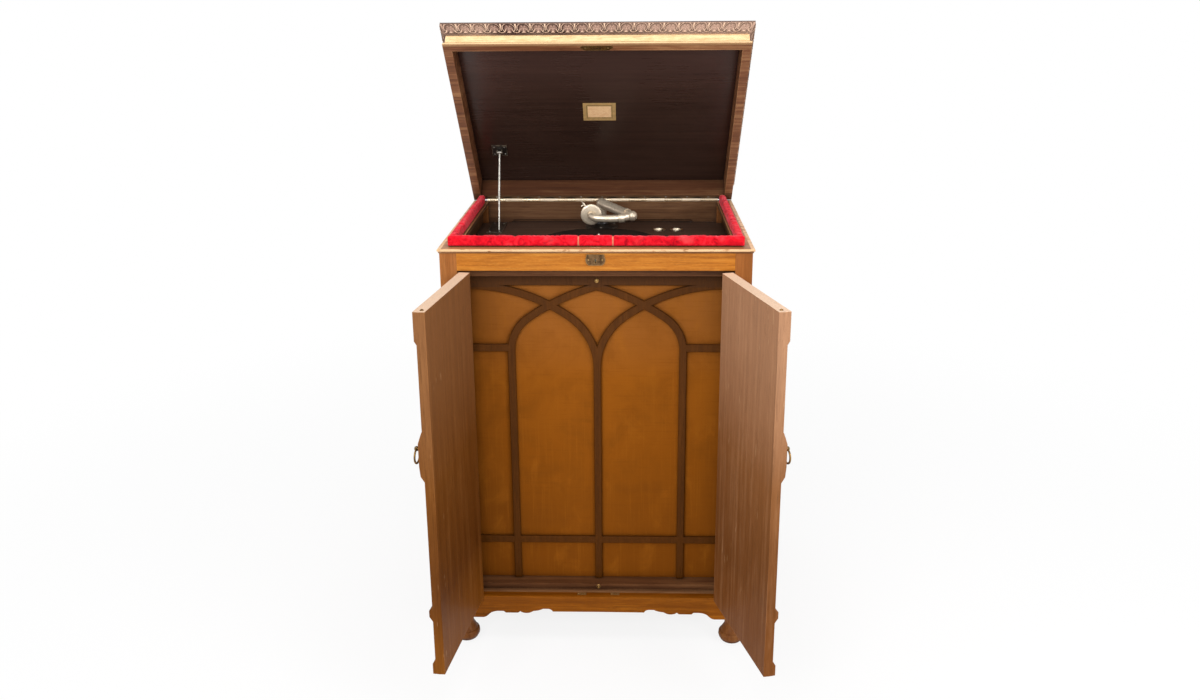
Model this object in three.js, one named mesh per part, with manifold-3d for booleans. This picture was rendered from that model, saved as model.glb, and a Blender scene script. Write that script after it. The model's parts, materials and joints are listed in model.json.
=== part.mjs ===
// A floor-standing gramophone cabinet with a hinged lid over the turntable well and a pair of doors
// over the horn's grille. X runs to the right as seen from the front, Y from front to back, Z up.
// While it is built, the front of the legs is at Y = 0, the middle of the case at X = 0 and the
// floor at Z = 0; the last lines move the whole model to the middle of its footprint. Millimetres.

import * as THREE from 'three';
import { mergeVertices } from 'three/addons/utils/BufferGeometryUtils.js';
import { ConvexGeometry } from 'three/addons/geometries/ConvexGeometry.js';
import Module from 'manifold-3d';

const wasm = await Module();
wasm.setup();

// ---------------------------------------------------------------- driving dimensions

const seat = 0.3; // gap left between pieces that are glued, screwed or seated on one another

// Case
const caseWidth = 700;
const caseDepth = 576;
const caseTop = 1006;
const legSquare = 38;
const footHeight = 65;
const footRadius = 32;
const footBase = 22;
const ankleRadius = 17;
const rimThickness = 10;
const rimWidth = 37;
const rimOverhang = 4.6;
const frontRailHeight = 40;
const sidePanelThickness = 20;
const sidePanelInset = 4;
const sidePanelFieldDepth = 5;
const sideFrameWidth = 62;
const backPanelThickness = 10;
const backRailThickness = 23;
const backRailRelief = 7;
const backRailReliefDepth = 9;
const backRailReliefEnd = 106;
const bottomThickness = 18;
const sillTop = 125;
const apronThickness = 20;
const apronArch = 18;
const wellDepth = 56;
const motorBoardThickness = 16;

// Door stops and grille
const stopFront = 27;
const riserFront = 36;
const riserHeight = 15;
const stopHeadHeight = 20;
const grilleFront = 61.6;
const traceryThickness = 8;
const traceryBevel = 1.5;
const barWidth = 17.5;
const outerBarX = 202.3;
const lowerBarZ = 248;
const sideBarDrop = 176;
const stileFromSide = 56;
const grilleTopRailHeight = 22.6;
const grilleDrop = 79;
const centreSpringDrop = 225.2;
const centreArc = 156;
const centreArcTurn = 54.8;
const centreUpperArc = 410;
const outerSpringDrop = 183;
const outerArc = 99;
const outerArcTurn = 54.4;
const outerUpperArc = 514;
const clothThickness = 1.4;

// Horn
const hornMouthFromSide = 80;
const hornMouthLow = 160;
const hornMouthDrop = 127;
const hornWall = 7;
const hornThroatHalf = 34;
const hornThroatDrop = 250;
const hornCollarDrop = 214;
const mouthBoardThickness = 12;

// Doors
const doorGap = 2;
const doorThickness = 20;
const doorSetBack = 5;
const doorPinForward = 5;
const doorPinInset = 1;
const leftDoorOpen = 98.08;
const rightDoorOpen = 106.17;
const topBandHeight = 61;
const lowerBandTop = 661;
const lowerBandProud = 7.5;
const bottomBandHeight = 36;
const bottomBandProud = 6.5;
const bossTop = 256;
const bossHeight = 113;
const bossProud = 10;
const bossWidth = 78;
const frameMargin = 26;
const frameWidth = 13;
const frameProud = 5;
const hingeKnuckle = 3.4;
const hingePin = 1.2;
const hingeLeaf = 1.3;
const hingeLeafWidth = 22;
const lidHingeLeafWidth = 16;
const hingeSplay = 0.5;
const hingePlay = 0.4;
const hingeFacets = 8;
const pinPlay = 0.04;
const doorHingeMargin = 12;
const doorHingeKnuckles = 9;
const catchRadius = 4;
const catchProud = 2.8;
const catchDimple = 1.6;
const catchFromEdge = 14;

// Ring pulls
const pullFromEdge = 30;
const pullBelowTop = 306;
const pullStand = 14;
const pullRingRadius = 16;
const pullWire = 2.2;
const pullPlateRadius = 13;
const pullPlateThickness = 2;

// Lid
const lidOpen = 48.27;
const lidWall = 16;
const lidBackWall = 18;
const lidWallHeight = 54.7;
const lidHeight = 66;
const lidLipHeight = 8;
const lidLipProud = 4.6;
const friezeLow = 34;
const friezeHigh = 58.6;
const friezeProud = 14;
const lidHingeFromSide = 33;
const lidHingeKnuckles = 13;
const keeperWidth = 76;
const keeperReach = 14;
const keeperThickness = 1.5;
const boltWidth = 20;
const boltThickness = 4;
const boltThrow = 8;
const keyholeDrop = 25.3;
const keyholeRadius = 2.6;
const keyholeWidth = 3;
const escutcheonWidth = 45;
const escutcheonHeight = 25;
const escutcheonThickness = 1.4;

// Lid stay
const stayFromSide = 78;
const stayReach = 146;
const stayDrop = 7.4;
const staySlotFromBack = 127;
const staySlotFront = 12;
const staySlotBack = 11;
const guideFront = 34;
const guideBack = 82;
const guideOuter = 28;
const guideInner = 12;
const guideThickness = 2;
const stayRodRadius = 3;
const stayRodLength = 232;
const stayPin = 1.6;

// Velvet strips
const stripWidth = 18;
const stripHeight = 24;
const stripFromBack = 54;
const stripCentreHalf = 39;
const stripEndDraw = 0.86;
const stripGather = 0.04;
const stripFootDraw = 0.1;

// Turntable and motor
const spindleY = 247;
const spindleRadius = 3.6;
const spindleRise = 35;
const platterRadius = 152.5;
const platterRise = 14;
const platterRim = 11;
const platterSkin = 2.4;
const matThickness = 2;
const motorY = 200;
const motorDrop = 70;
const motorHalf = 66;
const barrelRadius = 33;
const windingShaftRadius = 5;
const governorY = 290;
const governorRadius = 17;
const governorShaft = 2;
const bearingPlay = 0.3;

// Tone arm
const armFromBack = 84;
const armRise = 64;
const armRadius = 13;
const armLength = 147;
const armFall = 10;
const armTurn = 33.9;
const armFlangeRadius = 44;
const throatBore = 9;
const throatOuter = 14;
const knuckleRadius = 13.5;
const gooseneckRadius = 9.8;
const gooseneckReach = 106;
const gooseneckSag = 6.5;
const soundBoxRadius = 27;
const soundBoxDepth = 14;
const soundBoxBack = 20;
const soundBoxDrop = 1.5;
const needleLength = 45;
const needleLean = 35;

// Needle cups and brake
const cupRadius = 18;
const cupDepth = 8;
const cupLip = 3.6;
const cupXs = [153, 199.5];
const cupFromBack = 126;
const brakeX = 185;
const brakeY = 150;
const brakeLength = 58;
const brakePad = 5;
const brakeClear = 4;

// ---------------------------------------------------------------- derived planes

const halfWidth = caseWidth / 2;
const legInner = halfWidth - legSquare;
const rimUnder = caseTop - rimThickness;
const legTop = rimUnder - seat;
const boardHalf = legInner - seat;
const railUnder = legTop - frontRailHeight;
const motorBoardTop = caseTop - wellDepth;
const keyholeZ = caseTop - keyholeDrop;
const doorTop = railUnder - doorGap;
const doorBottom = sillTop + doorGap;
const doorHeight = doorTop - doorBottom;
const sideInner = halfWidth - sidePanelInset - sidePanelThickness;
const wideHalf = sideInner - seat;
const legBack = caseDepth - legSquare;
const backRailFront = caseDepth - backRailThickness;
const riserTop = sillTop + seat + riserHeight;
const grilleFoot = riserTop + seat;
const clothFront = grilleFront + traceryThickness + seat;
const mouthBoardFront = clothFront + clothThickness + seat;
const motorBoardUnder = motorBoardTop - motorBoardThickness;
const hingeZ = caseTop + 0.5;
const hingeY = caseDepth + 1;
const lidHingeHalf = halfWidth - lidHingeFromSide;
const backRailReliefHalf = halfWidth - backRailReliefEnd;
const grilleTop = caseTop - grilleDrop;
const stileInner = halfWidth - stileFromSide;
const sideBarZ = grilleTop - sideBarDrop;
const centreSpringZ = grilleTop - centreSpringDrop;
const outerSpringZ = grilleTop - outerSpringDrop;
const hornMouthHalf = halfWidth - hornMouthFromSide;
const hornMouthHigh = grilleTop - hornMouthDrop;
const hornThroatZ = motorBoardTop - hornThroatDrop;
const hornCollarTop = motorBoardTop - hornCollarDrop;
const stayX = stayFromSide - halfWidth;
const staySlotY = caseDepth - staySlotFromBack;
const stripBack = caseDepth - stripFromBack;
const spindleTop = motorBoardTop + spindleRise;
const platterTop = motorBoardTop + platterRise;
const motorZ = motorBoardTop - motorDrop;
const armPivotY = caseDepth - armFromBack;
const armAxisZ = motorBoardTop + armRise;
const knuckleZ = armAxisZ - armFall;
const cupY = caseDepth - cupFromBack;

// ---------------------------------------------------------------- materials

function finish(color, roughness, metalness) {
  return new THREE.MeshStandardMaterial({ color, roughness, metalness });
}

const oakLight = finish(0xd28a3c, 0.4, 0);
const oak = finish(0xa86a35, 0.45, 0);
const oakDark = finish(0x4b2d16, 0.5, 0);
const oakInside = finish(0x7d5032, 0.55, 0);
const lidWood = finish(0x3c2822, 0.3, 0);
const carvedOak = finish(0xa08068, 0.6, 0);
const plywood = finish(0x9b7447, 0.7, 0);
const speakerCloth = finish(0x9b5f2d, 0.9, 0);
const velvet = finish(0xe0121e, 0.95, 0);
const brass = finish(0x8a6a3a, 0.4, 0.9);
const nickel = finish(0xe1cdaa, 0.25, 1);
const steel = finish(0xb9b4a8, 0.35, 1);
const blackIron = finish(0x1c1a19, 0.5, 0.4);
const felt = finish(0x2e211a, 0.95, 0);

// ---------------------------------------------------------------- solids

// A geometry with one closed skin of shared corners, facing outward.
function closed(points, triangles) {
  const corner = (i) => new THREE.Vector3(...points[i]);
  let volume = 0;
  for (const [a, b, c] of triangles) {
    volume += corner(a).dot(corner(b).cross(corner(c)));
  }
  const faces = volume < 0 ? triangles.map(([a, b, c]) => [a, c, b]) : triangles;
  const geometry = new THREE.BufferGeometry();
  geometry.setAttribute('position', new THREE.Float32BufferAttribute(points.flat(), 3));
  geometry.setIndex(faces.flat());
  return geometry;
}

function toManifold(source) {
  const bare = new THREE.BufferGeometry();
  bare.setAttribute('position', source.attributes.position.clone());
  if (source.index) {
    bare.setIndex(source.index.clone());
  }
  const merged = mergeVertices(bare, 1e-3);
  const index = merged.index.array;
  const triVerts = [];
  for (let i = 0; i < index.length; i += 3) {
    const [a, b, c] = [index[i], index[i + 1], index[i + 2]];
    if (a !== b && b !== c && c !== a) {
      triVerts.push(a, b, c);
    }
  }
  return new wasm.Manifold(new wasm.Mesh({
    numProp: 3,
    vertProperties: new Float32Array(merged.attributes.position.array),
    triVerts: new Uint32Array(triVerts),
  }));
}

function fromManifold(solid) {
  const mesh = solid.getMesh();
  const geometry = new THREE.BufferGeometry();
  geometry.setAttribute('position', new THREE.BufferAttribute(new Float32Array(mesh.vertProperties),
    3));
  geometry.setIndex(new THREE.BufferAttribute(new Uint32Array(mesh.triVerts), 1));
  return geometry;
}

function join(...pieces) {
  return fromManifold(pieces.map(toManifold).reduce((whole, piece) => whole.add(piece)));
}

function cut(base, ...tools) {
  return fromManifold(tools.map(toManifold).reduce((whole, tool) => whole.subtract(tool),
    toManifold(base)));
}

function common(first, second) {
  return fromManifold(toManifold(first).intersect(toManifold(second)));
}

function box([x0, x1], [y0, y1], [z0, z1]) {
  const geometry = new THREE.BoxGeometry(x1 - x0, y1 - y0, z1 - z0);
  return geometry.translate((x0 + x1) / 2, (y0 + y1) / 2, (z0 + z1) / 2);
}

// A cylinder or cone along one axis, from one end to the other.
function rod(axis, [u, v], radius, from, to, sides = 24, endRadius = radius) {
  const geometry = new THREE.CylinderGeometry(endRadius, radius, to - from, sides);
  geometry.translate(0, (from + to) / 2, 0);
  if (axis === 'x') {
    return geometry.rotateZ(-Math.PI / 2).rotateX(-Math.PI / 2).translate(0, u, v);
  }
  if (axis === 'z') {
    return geometry.rotateX(Math.PI / 2).translate(u, v, 0);
  }
  return geometry.translate(u, 0, v);
}

// A profile of [radius, height] points turned about Z.
function turned(profile, sides = 32) {
  const points = profile.map(([radius, height]) => new THREE.Vector2(radius, height));
  const geometry = new THREE.LatheGeometry(points, sides).rotateX(Math.PI / 2);
  return fromManifold(facingOut(geometry));
}

// A lathe's faces point out or in with the direction of its profile.
function facingOut(geometry) {
  const solid = toManifold(geometry);
  if (solid.volume() >= 0) {
    return solid;
  }
  const mesh = solid.getMesh();
  const flipped = new THREE.BufferGeometry();
  flipped.setAttribute('position', new THREE.BufferAttribute(new Float32Array(mesh.vertProperties), 3));
  const index = Array.from(mesh.triVerts);
  for (let i = 0; i < index.length; i += 3) {
    [index[i + 1], index[i + 2]] = [index[i + 2], index[i + 1]];
  }
  flipped.setIndex(index);
  return toManifold(flipped);
}

function outline(points) {
  return new THREE.Shape(points.map(([a, b]) => new THREE.Vector2(a, b)));
}

// A shape drawn in X and Z, as seen from the front, with thickness along Y.
function boardXZ(shape, [y0, y1], options = {}) {
  const settings = { depth: y1 - y0, bevelEnabled: false, curveSegments: 8, ...options };
  return new THREE.ExtrudeGeometry(shape, settings).rotateX(Math.PI / 2).translate(0, y1, 0);
}

// A shape drawn in Y and Z, as seen from the right, with length along X.
function boardYZ(shape, [x0, x1]) {
  const turn = new THREE.Matrix4().makeBasis(
    new THREE.Vector3(0, 1, 0),
    new THREE.Vector3(0, 0, 1),
    new THREE.Vector3(1, 0, 0),
  );
  const geometry = new THREE.ExtrudeGeometry(shape, { depth: x1 - x0, bevelEnabled: false,
    curveSegments: 8 });
  return geometry.applyMatrix4(turn).translate(x0, 0, 0);
}

function boardXY(shape, [z0, z1], curveSegments = 8) {
  const geometry = new THREE.ExtrudeGeometry(shape, { depth: z1 - z0, bevelEnabled: false,
    curveSegments });
  return geometry.translate(0, 0, z0);
}

// Triangles over a profile, wound the same way as its points.
function capOf(profile) {
  const flat = profile.map(([a, b]) => new THREE.Vector2(a, b));
  const winding = Math.sign(THREE.ShapeUtils.area(flat));
  return THREE.ShapeUtils.triangulateShape(flat, []).map(([a, b, c]) => {
    const side = THREE.ShapeUtils.area([flat[a], flat[b], flat[c]]);
    return Math.sign(side) === winding ? [a, b, c] : [a, c, b];
  });
}

// A skin over rings of points; with a cap at each end, or closed on itself when there is none.
function skin(rings, cap) {
  const count = rings[0].length;
  const triangles = [];
  const steps = cap ? rings.length - 1 : rings.length;
  for (let i = 0; i < steps; i += 1) {
    const here = i * count;
    const next = ((i + 1) % rings.length) * count;
    for (let k = 0; k < count; k += 1) {
      const m = (k + 1) % count;
      triangles.push([here + k, here + m, next + m], [here + k, next + m, next + k]);
    }
  }
  if (cap) {
    const last = (rings.length - 1) * count;
    cap.forEach(([a, b, c]) => triangles.push([c, b, a], [last + a, last + b, last + c]));
  }
  return closed(rings.flat(), triangles);
}

// A moulding along the left side, the front and the right side, with mitred corners. The profile
// is [out, height], with out measured outward from the rectangle.
function threeSided(profile, half, front, back) {
  return skin([
    profile.map(([out, z]) => [-half - out, back, z]),
    profile.map(([out, z]) => [-half - out, front - out, z]),
    profile.map(([out, z]) => [half + out, front - out, z]),
    profile.map(([out, z]) => [half + out, back, z]),
  ], capOf(profile));
}

// A round tube along a curve, with a radius for each place on it from 0 to 1.
function taperedTube(curve, radiusAt, steps, sides) {
  const frames = curve.computeFrenetFrames(steps, false);
  const rings = [];
  for (let i = 0; i <= steps; i += 1) {
    const centre = curve.getPointAt(i / steps);
    const ring = [];
    for (let k = 0; k < sides; k += 1) {
      const angle = (2 * Math.PI * k) / sides;
      const arm = frames.normals[i].clone().multiplyScalar(Math.cos(angle));
      arm.addScaledVector(frames.binormals[i], Math.sin(angle));
      ring.push(centre.clone().addScaledVector(arm, radiusAt(i / steps)).toArray());
    }
    rings.push(ring);
  }
  const circle = rings[0].map((_, k) => [Math.cos((2 * Math.PI * k) / sides),
    Math.sin((2 * Math.PI * k) / sides)]);
  return skin(rings, capOf(circle));
}

const cabinet = new THREE.Group();

function add(group, name, geometry, material) {
  geometry.computeVertexNormals();
  const mesh = new THREE.Mesh(geometry, material);
  mesh.name = name;
  group.add(mesh);
  return mesh;
}

const radians = THREE.MathUtils.degToRad;
const sides = [['left', -1], ['right', 1]];

// ---------------------------------------------------------------- strip hinges

// One half of a strip hinge about a pin along Z: a plate, with knuckles at every other place. The
// first half carries the pin and the second half is bored for it.
function stripHinge(plate, length, places, half) {
  const step = length / places;
  const pieces = [];
  const clearances = [];
  for (let i = 0; i < places; i += 1) {
    const from = i * step + hingePlay / 2;
    const to = (i + 1) * step - hingePlay / 2;
    if (i % 2 === half) {
      pieces.push(rod('z', [0, 0], hingeKnuckle, from, to, hingeFacets));
    } else {
      clearances.push(rod('z', [0, 0], hingeKnuckle + seat, from - hingePlay, to + hingePlay,
        hingeFacets));
    }
  }
  const leaf = join(cut(plate, ...clearances), ...pieces);
  if (half === 0) {
    return join(leaf, rod('z', [0, 0], hingePin, hingePlay / 2, length - hingePlay / 2, hingeFacets));
  }
  const bore = (hingePin + pinPlay) / Math.cos(Math.PI / hingeFacets);
  return cut(leaf, rod('z', [0, 0], bore, -1, length + 1, hingeFacets));
}

// ---------------------------------------------------------------- legs

function footProfile() {
  const path = new THREE.Path();
  path.moveTo(0, 0);
  path.lineTo(footBase, 0);
  path.quadraticCurveTo(footBase + 5, 1, footRadius - 4, 6);
  path.bezierCurveTo(footRadius - 1, 9, footRadius + 1.4, 15, footRadius - 0.6, 22);
  path.quadraticCurveTo(footRadius - 2, 25.6, footRadius - 5, 26);
  path.lineTo(footRadius - 5.5, 27.5);
  path.bezierCurveTo(footRadius - 8, 37, ankleRadius + 1, 38, ankleRadius, footHeight - 17);
  path.quadraticCurveTo(ankleRadius, footHeight - 12, legSquare / 2, footHeight - 9);
  path.lineTo(legSquare / 2, footHeight + 1);
  path.lineTo(0, footHeight + 1);
  return path.getPoints(3).map((point) => [point.x, point.y]);
}

const pinX = legInner - doorPinInset;
const doorHingeLow = doorBottom + doorHingeMargin;
const doorHingeLength = doorHeight - 2 * doorHingeMargin;

for (const [side, sign] of sides) {
  for (const place of ['front', 'back']) {
    const front = place === 'front' ? 0 : legBack;
    const x = sign < 0 ? [-halfWidth, -legInner] : [legInner, halfWidth];
    const square = box(x, [front, front + legSquare], [footHeight, legTop]);
    const foot = turned(footProfile(), 20).translate(sign * (halfWidth - legSquare / 2),
      front + legSquare / 2, 0);
    let leg = join(square, foot);
    if (place === 'front') {
      const rebate = [legInner - 1, legInner + 2 * seat + hingeLeaf].map((edge) => edge * sign);
      const depth = hingeLeafWidth - doorPinForward + seat;
      const height = [doorHingeLow - seat, doorHingeLow + doorHingeLength + seat];
      leg = cut(leg, box(rebate.sort((a, b) => a - b), [-1, depth], height));
    }
    add(cabinet, `leg_${place}_${side}`, leg, oak);
  }
}

// ---------------------------------------------------------------- case boards

// A board that fills the case from side to side and steps in where the legs stand.
function betweenLegs(front, back) {
  const shape = new THREE.Shape();
  const inFront = legSquare + seat;
  const atBack = legBack - seat;
  shape.moveTo(-boardHalf, front);
  shape.lineTo(boardHalf, front);
  shape.lineTo(boardHalf, inFront);
  shape.lineTo(wideHalf, inFront);
  shape.lineTo(wideHalf, atBack);
  shape.lineTo(boardHalf, atBack);
  shape.lineTo(boardHalf, back);
  shape.lineTo(-boardHalf, back);
  shape.lineTo(-boardHalf, atBack);
  shape.lineTo(-wideHalf, atBack);
  shape.lineTo(-wideHalf, inFront);
  shape.lineTo(-boardHalf, inFront);
  shape.closePath();
  return shape;
}

const backPanelFront = caseDepth - 3 - backPanelThickness;
const boardBack = backPanelFront - seat;

add(cabinet, 'bottom_board',
  boardXY(betweenLegs(apronThickness + seat, boardBack), [sillTop - bottomThickness, sillTop]),
    oakInside);

add(cabinet, 'back_panel',
  box([-boardHalf, boardHalf], [backPanelFront, backPanelFront + backPanelThickness],
    [footHeight + 1, motorBoardTop]), plywood);

// The side: a frame with a sunk and bevelled field, and a lower edge that curves up from the legs.
function sidePanel(sign) {
  const [front, back] = [legSquare + seat, legBack - seat];
  const shape = new THREE.Shape();
  const rise = footHeight + apronArch;
  shape.moveTo(front, footHeight);
  shape.lineTo(front + 24, footHeight);
  shape.bezierCurveTo(front + 42, footHeight + 4, front + 44, rise - 2, front + 62, rise);
  shape.lineTo(back - 62, rise);
  shape.bezierCurveTo(back - 44, rise - 2, back - 42, footHeight + 4, back - 24, footHeight);
  shape.lineTo(back, footHeight);
  shape.lineTo(back, legTop);
  shape.lineTo(front, legTop);
  shape.closePath();
  const outer = sideInner + sidePanelThickness;
  const board = boardYZ(shape, [sideInner, outer]);
  const field = [front + sideFrameWidth, back - sideFrameWidth, sillTop + sideFrameWidth / 2,
    legTop - sideFrameWidth];
  const ring = (inset, x) => [
    [x, field[0] + inset, field[2] + inset],
    [x, field[1] - inset, field[2] + inset],
    [x, field[1] - inset, field[3] - inset],
    [x, field[0] + inset, field[3] - inset],
  ];
  const bevel = sidePanelFieldDepth * 2;
  const sunk = skin([ring(0, outer + 1), ring(0, outer), ring(bevel, outer - sidePanelFieldDepth)],
    [[0, 1, 2], [0, 2, 3]]);
  const windingHole = rod('x', [motorY, motorZ], windingShaftRadius + 2 * seat, sideInner - 1,
    outer + 1);
  const panel = sign > 0 ? cut(board, sunk, windingHole) : cut(board, sunk);
  return sign > 0 ? panel : mirrorX(panel);
}

function mirrorX(geometry) {
  const copy = geometry.clone().scale(-1, 1, 1);
  const index = Array.from(copy.index.array);
  for (let i = 0; i < index.length; i += 3) {
    [index[i + 1], index[i + 2]] = [index[i + 2], index[i + 1]];
  }
  copy.setIndex(index);
  return copy;
}

add(cabinet, 'side_panel_left', sidePanel(-1), oak);
add(cabinet, 'side_panel_right', sidePanel(1), oak);

// Front rail with the lock's mortise and keyhole.
const boltFront = 9;
const boltSpace = [[-boltWidth / 2 - seat, boltWidth / 2 + seat], [boltFront - seat,
  boltFront + boltThickness + seat]];
const boltFoot = legTop - 22;

function keyhole(front, back) {
  const slot = box([-keyholeWidth / 2, keyholeWidth / 2], [front, back], [keyholeZ - 8, keyholeZ]);
  return join(rod('y', [0, keyholeZ], keyholeRadius, front, back, 16), slot);
}

const doorFar = pinX - doorGap / 2;
const slabFace = doorPinForward + doorSetBack;
const slabBack = slabFace + doorThickness;
const catchX = doorFar - catchFromEdge;
const catchY = slabFace + doorThickness / 2;

function catchStrike(sign) {
  return rod('z', [sign * (pinX - catchX), catchY - doorPinForward], catchRadius,
    railUnder - 1, railUnder + catchDimple, 12);
}

add(cabinet, 'front_rail',
  cut(box([-boardHalf, boardHalf], [0, riserFront], [railUnder, legTop]),
    box(...boltSpace, [boltFoot - seat, legTop + 1]), keyhole(-1, boltFront),
    catchStrike(-1), catchStrike(1)), oakLight);

// A cartouche: flat on top, swelling at the sides and drawn in to a narrower foot.
function escutcheon() {
  const [w, h] = [escutcheonWidth / 2, escutcheonHeight / 2];
  const [shoulder, hip, foot] = [w * 0.87, w * 0.95, w * 0.64];
  const shape = new THREE.Shape();
  shape.moveTo(-shoulder, h);
  shape.lineTo(shoulder, h);
  shape.quadraticCurveTo(hip - 1, h * 0.45, w, h * 0.1);
  shape.quadraticCurveTo(hip, -h * 0.8, foot, -h);
  shape.lineTo(-foot, -h);
  shape.quadraticCurveTo(-hip, -h * 0.8, -w, h * 0.1);
  shape.quadraticCurveTo(1 - hip, h * 0.45, -shoulder, h);
  const plate = boardXZ(shape, [-escutcheonThickness - seat, -seat], { curveSegments: 4 });
  return cut(plate.translate(0, 0, keyholeZ), keyhole(-2 * escutcheonThickness, 1));
}

add(cabinet, 'escutcheon', escutcheon(), brass);

// Apron: flat beside the legs, then an ogee up to a long shallow arch with small steps and cusps.
// The right half's edge from the leg to the middle: straight moves, and curves with their controls.
const archZ = footHeight + apronArch;
const apronEdge = [
  [286, footHeight],
  [276, footHeight + 1, 272, footHeight + 10, 266, footHeight + 13.5],
  [258, archZ - 0.5, 249, archZ],
  [235, archZ],
  [230, archZ - 4.5],
  [201.6, archZ - 4.5],
  [196, archZ - 4, 194.5, archZ],
  [188, archZ - 5.5, 177, archZ - 5.2],
  [166, archZ - 5, 164, archZ + 1, 158, archZ + 1],
  [146, archZ + 2, 137, archZ + 7],
  [123, archZ + 7],
  [115, archZ + 5, 113, archZ - 0.5],
  [0, archZ],
];

function edgeTo(shape, move) {
  const draw = { 2: 'lineTo', 4: 'quadraticCurveTo', 6: 'bezierCurveTo' }[move.length];
  shape[draw](...move);
}

function apronShape() {
  const shape = new THREE.Shape();
  shape.moveTo(-boardHalf, sillTop);
  shape.lineTo(-boardHalf, footHeight);
  for (const move of apronEdge) {
    edgeTo(shape, move.map((value, k) => (k % 2 === 0 ? -value : value)));
  }
  for (let i = apronEdge.length - 1; i >= 0; i -= 1) {
    const end = i > 0 ? apronEdge[i - 1].slice(-2) : [boardHalf, footHeight];
    const controls = apronEdge[i].slice(0, -2);
    edgeTo(shape, [...controls.slice(2), ...controls.slice(0, 2), ...end]);
  }
  shape.lineTo(boardHalf, sillTop);
  shape.closePath();
  return shape;
}

add(cabinet, 'apron', boardXZ(apronShape(), [0, apronThickness], { curveSegments: 5 }), oak);

add(cabinet, 'door_stop_riser',
  box([-boardHalf, boardHalf], [riserFront, mouthBoardFront + mouthBoardThickness], [sillTop + seat,
    riserTop]), oakDark);

add(cabinet, 'door_stop_head',
  box([-boardHalf, boardHalf], [stopFront, riserFront], [railUnder - stopHeadHeight,
    railUnder - seat]), oakDark);

// Rim: a moulded edge along the sides and the front, let in at the back for the back rail.
const rimProfile = [
  [-rimWidth, rimUnder], [0, rimUnder], [1.8, rimUnder + 0.8], [2.4, rimUnder + 2], [1.8,
    rimUnder + 3.2],
  [1, rimUnder + 3.8], [rimOverhang - 0.6, rimUnder + 4.4], [rimOverhang, rimUnder + 6.4],
  [rimOverhang - 0.4, caseTop - 0.8], [rimOverhang - 1.4, caseTop], [-rimWidth, caseTop],
];
const railEnd = lidHingeHalf + 5;

add(cabinet, 'case_top_moulding',
  cut(threeSided(rimProfile, halfWidth, 0, caseDepth),
    box([-railEnd - seat, railEnd + seat], [backRailFront - seat, caseDepth + 1], [rimUnder - 1,
      caseTop + 1]),
    box(...boltSpace, [rimUnder - 1, caseTop + 1])), oakLight);

// Back rail: closes the back of the well, relieved along the foot of its front, and carries the
// lid's hinge.
function backRail() {
  const low = motorBoardTop + seat;
  const shape = outline([
    [-boardHalf, low], [boardHalf, low], [boardHalf, rimUnder], [railEnd, rimUnder], [railEnd, caseTop],
    [-railEnd, caseTop], [-railEnd, rimUnder], [-boardHalf, rimUnder],
  ]);
  const relief = outline([
    [-backRailReliefHalf - backRailRelief, low - 1], [backRailReliefHalf + backRailRelief, low - 1],
    [backRailReliefHalf, low + backRailRelief], [-backRailReliefHalf, low + backRailRelief],
  ]);
  const leafBed = box([-lidHingeHalf - seat, lidHingeHalf + seat],
    [hingeY - lidHingeLeafWidth - seat, caseDepth + 1], [hingeZ - hingeSplay - hingeLeaf - seat,
      caseTop + 1]);
  const barrel = rod('x', [hingeY, hingeZ], hingeKnuckle + seat, -lidHingeHalf - seat,
    lidHingeHalf + seat, hingeFacets);
  return cut(boardXZ(shape, [backRailFront, caseDepth]),
    boardXZ(relief, [backRailFront - 1, backRailFront + backRailReliefDepth]), leafBed, barrel);
}

add(cabinet, 'case_back_rail', backRail(), oak);

// ---------------------------------------------------------------- motor board

const staySlot = [[stayX - stayRodRadius - 1.2, stayX + stayRodRadius + 1.2],
  [staySlotY - staySlotFront, staySlotY + staySlotBack]];

function motorBoard() {
  const through = [motorBoardUnder - 1, motorBoardTop + 1];
  const tools = [
    rod('z', [0, spindleY], spindleRadius + 1.4, ...through),
    rod('z', [0, armPivotY], throatOuter + seat, ...through, 32),
    box(...staySlot, through),
    ...cupXs.map((x) => rod('z', [x, cupY], cupRadius - cupLip + seat, ...through)),
  ];
  const board = boardXY(betweenLegs(riserFront + seat, boardBack), [motorBoardUnder, motorBoardTop]);
  return cut(board, ...tools);
}

add(cabinet, 'motor_board', motorBoard(), oakInside);

cupXs.forEach((x, i) => {
  const top = motorBoardTop + seat;
  const profile = [[0, top - cupDepth - 1.2], [cupRadius - 8, top - cupDepth - 1.2],
    [cupRadius - cupLip, top - 4],
    [cupRadius - cupLip, top], [cupRadius, top], [cupRadius, top + 1.2], [cupRadius - 1.5, top + 1.8],
    [cupRadius - 3, top + 1.2], [cupRadius - cupLip - 1.4, top - 3], [cupRadius - 8.5,
      top - cupDepth], [0, top - cupDepth]];
  add(cabinet, `needle_cup_${i + 1}`, turned(profile, 20).translate(x, cupY, 0), nickel);
});

const guideTop = motorBoardTop + seat + guideThickness;
add(cabinet, 'stay_guide_plate',
  cut(box([stayX - guideOuter, stayX + guideInner], [staySlotY - guideFront, staySlotY + guideBack],
    [motorBoardTop + seat, guideTop]),
    box(...staySlot, [motorBoardTop - 1, guideTop + 1])), blackIron);

// ---------------------------------------------------------------- grille

function bevelled(shape, curveSegments = 10) {
  return boardXZ(shape, [grilleFront + traceryBevel, grilleFront + traceryThickness - traceryBevel], {
    bevelEnabled: true,
    bevelThickness: traceryBevel,
    bevelSize: traceryBevel,
    bevelOffset: -traceryBevel,
    bevelSegments: 1,
    curveSegments,
  });
}

function bar([x0, x1], [z0, z1]) {
  return bevelled(outline([[x0, z0], [x1, z0], [x1, z1], [x0, z1]]));
}

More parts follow.
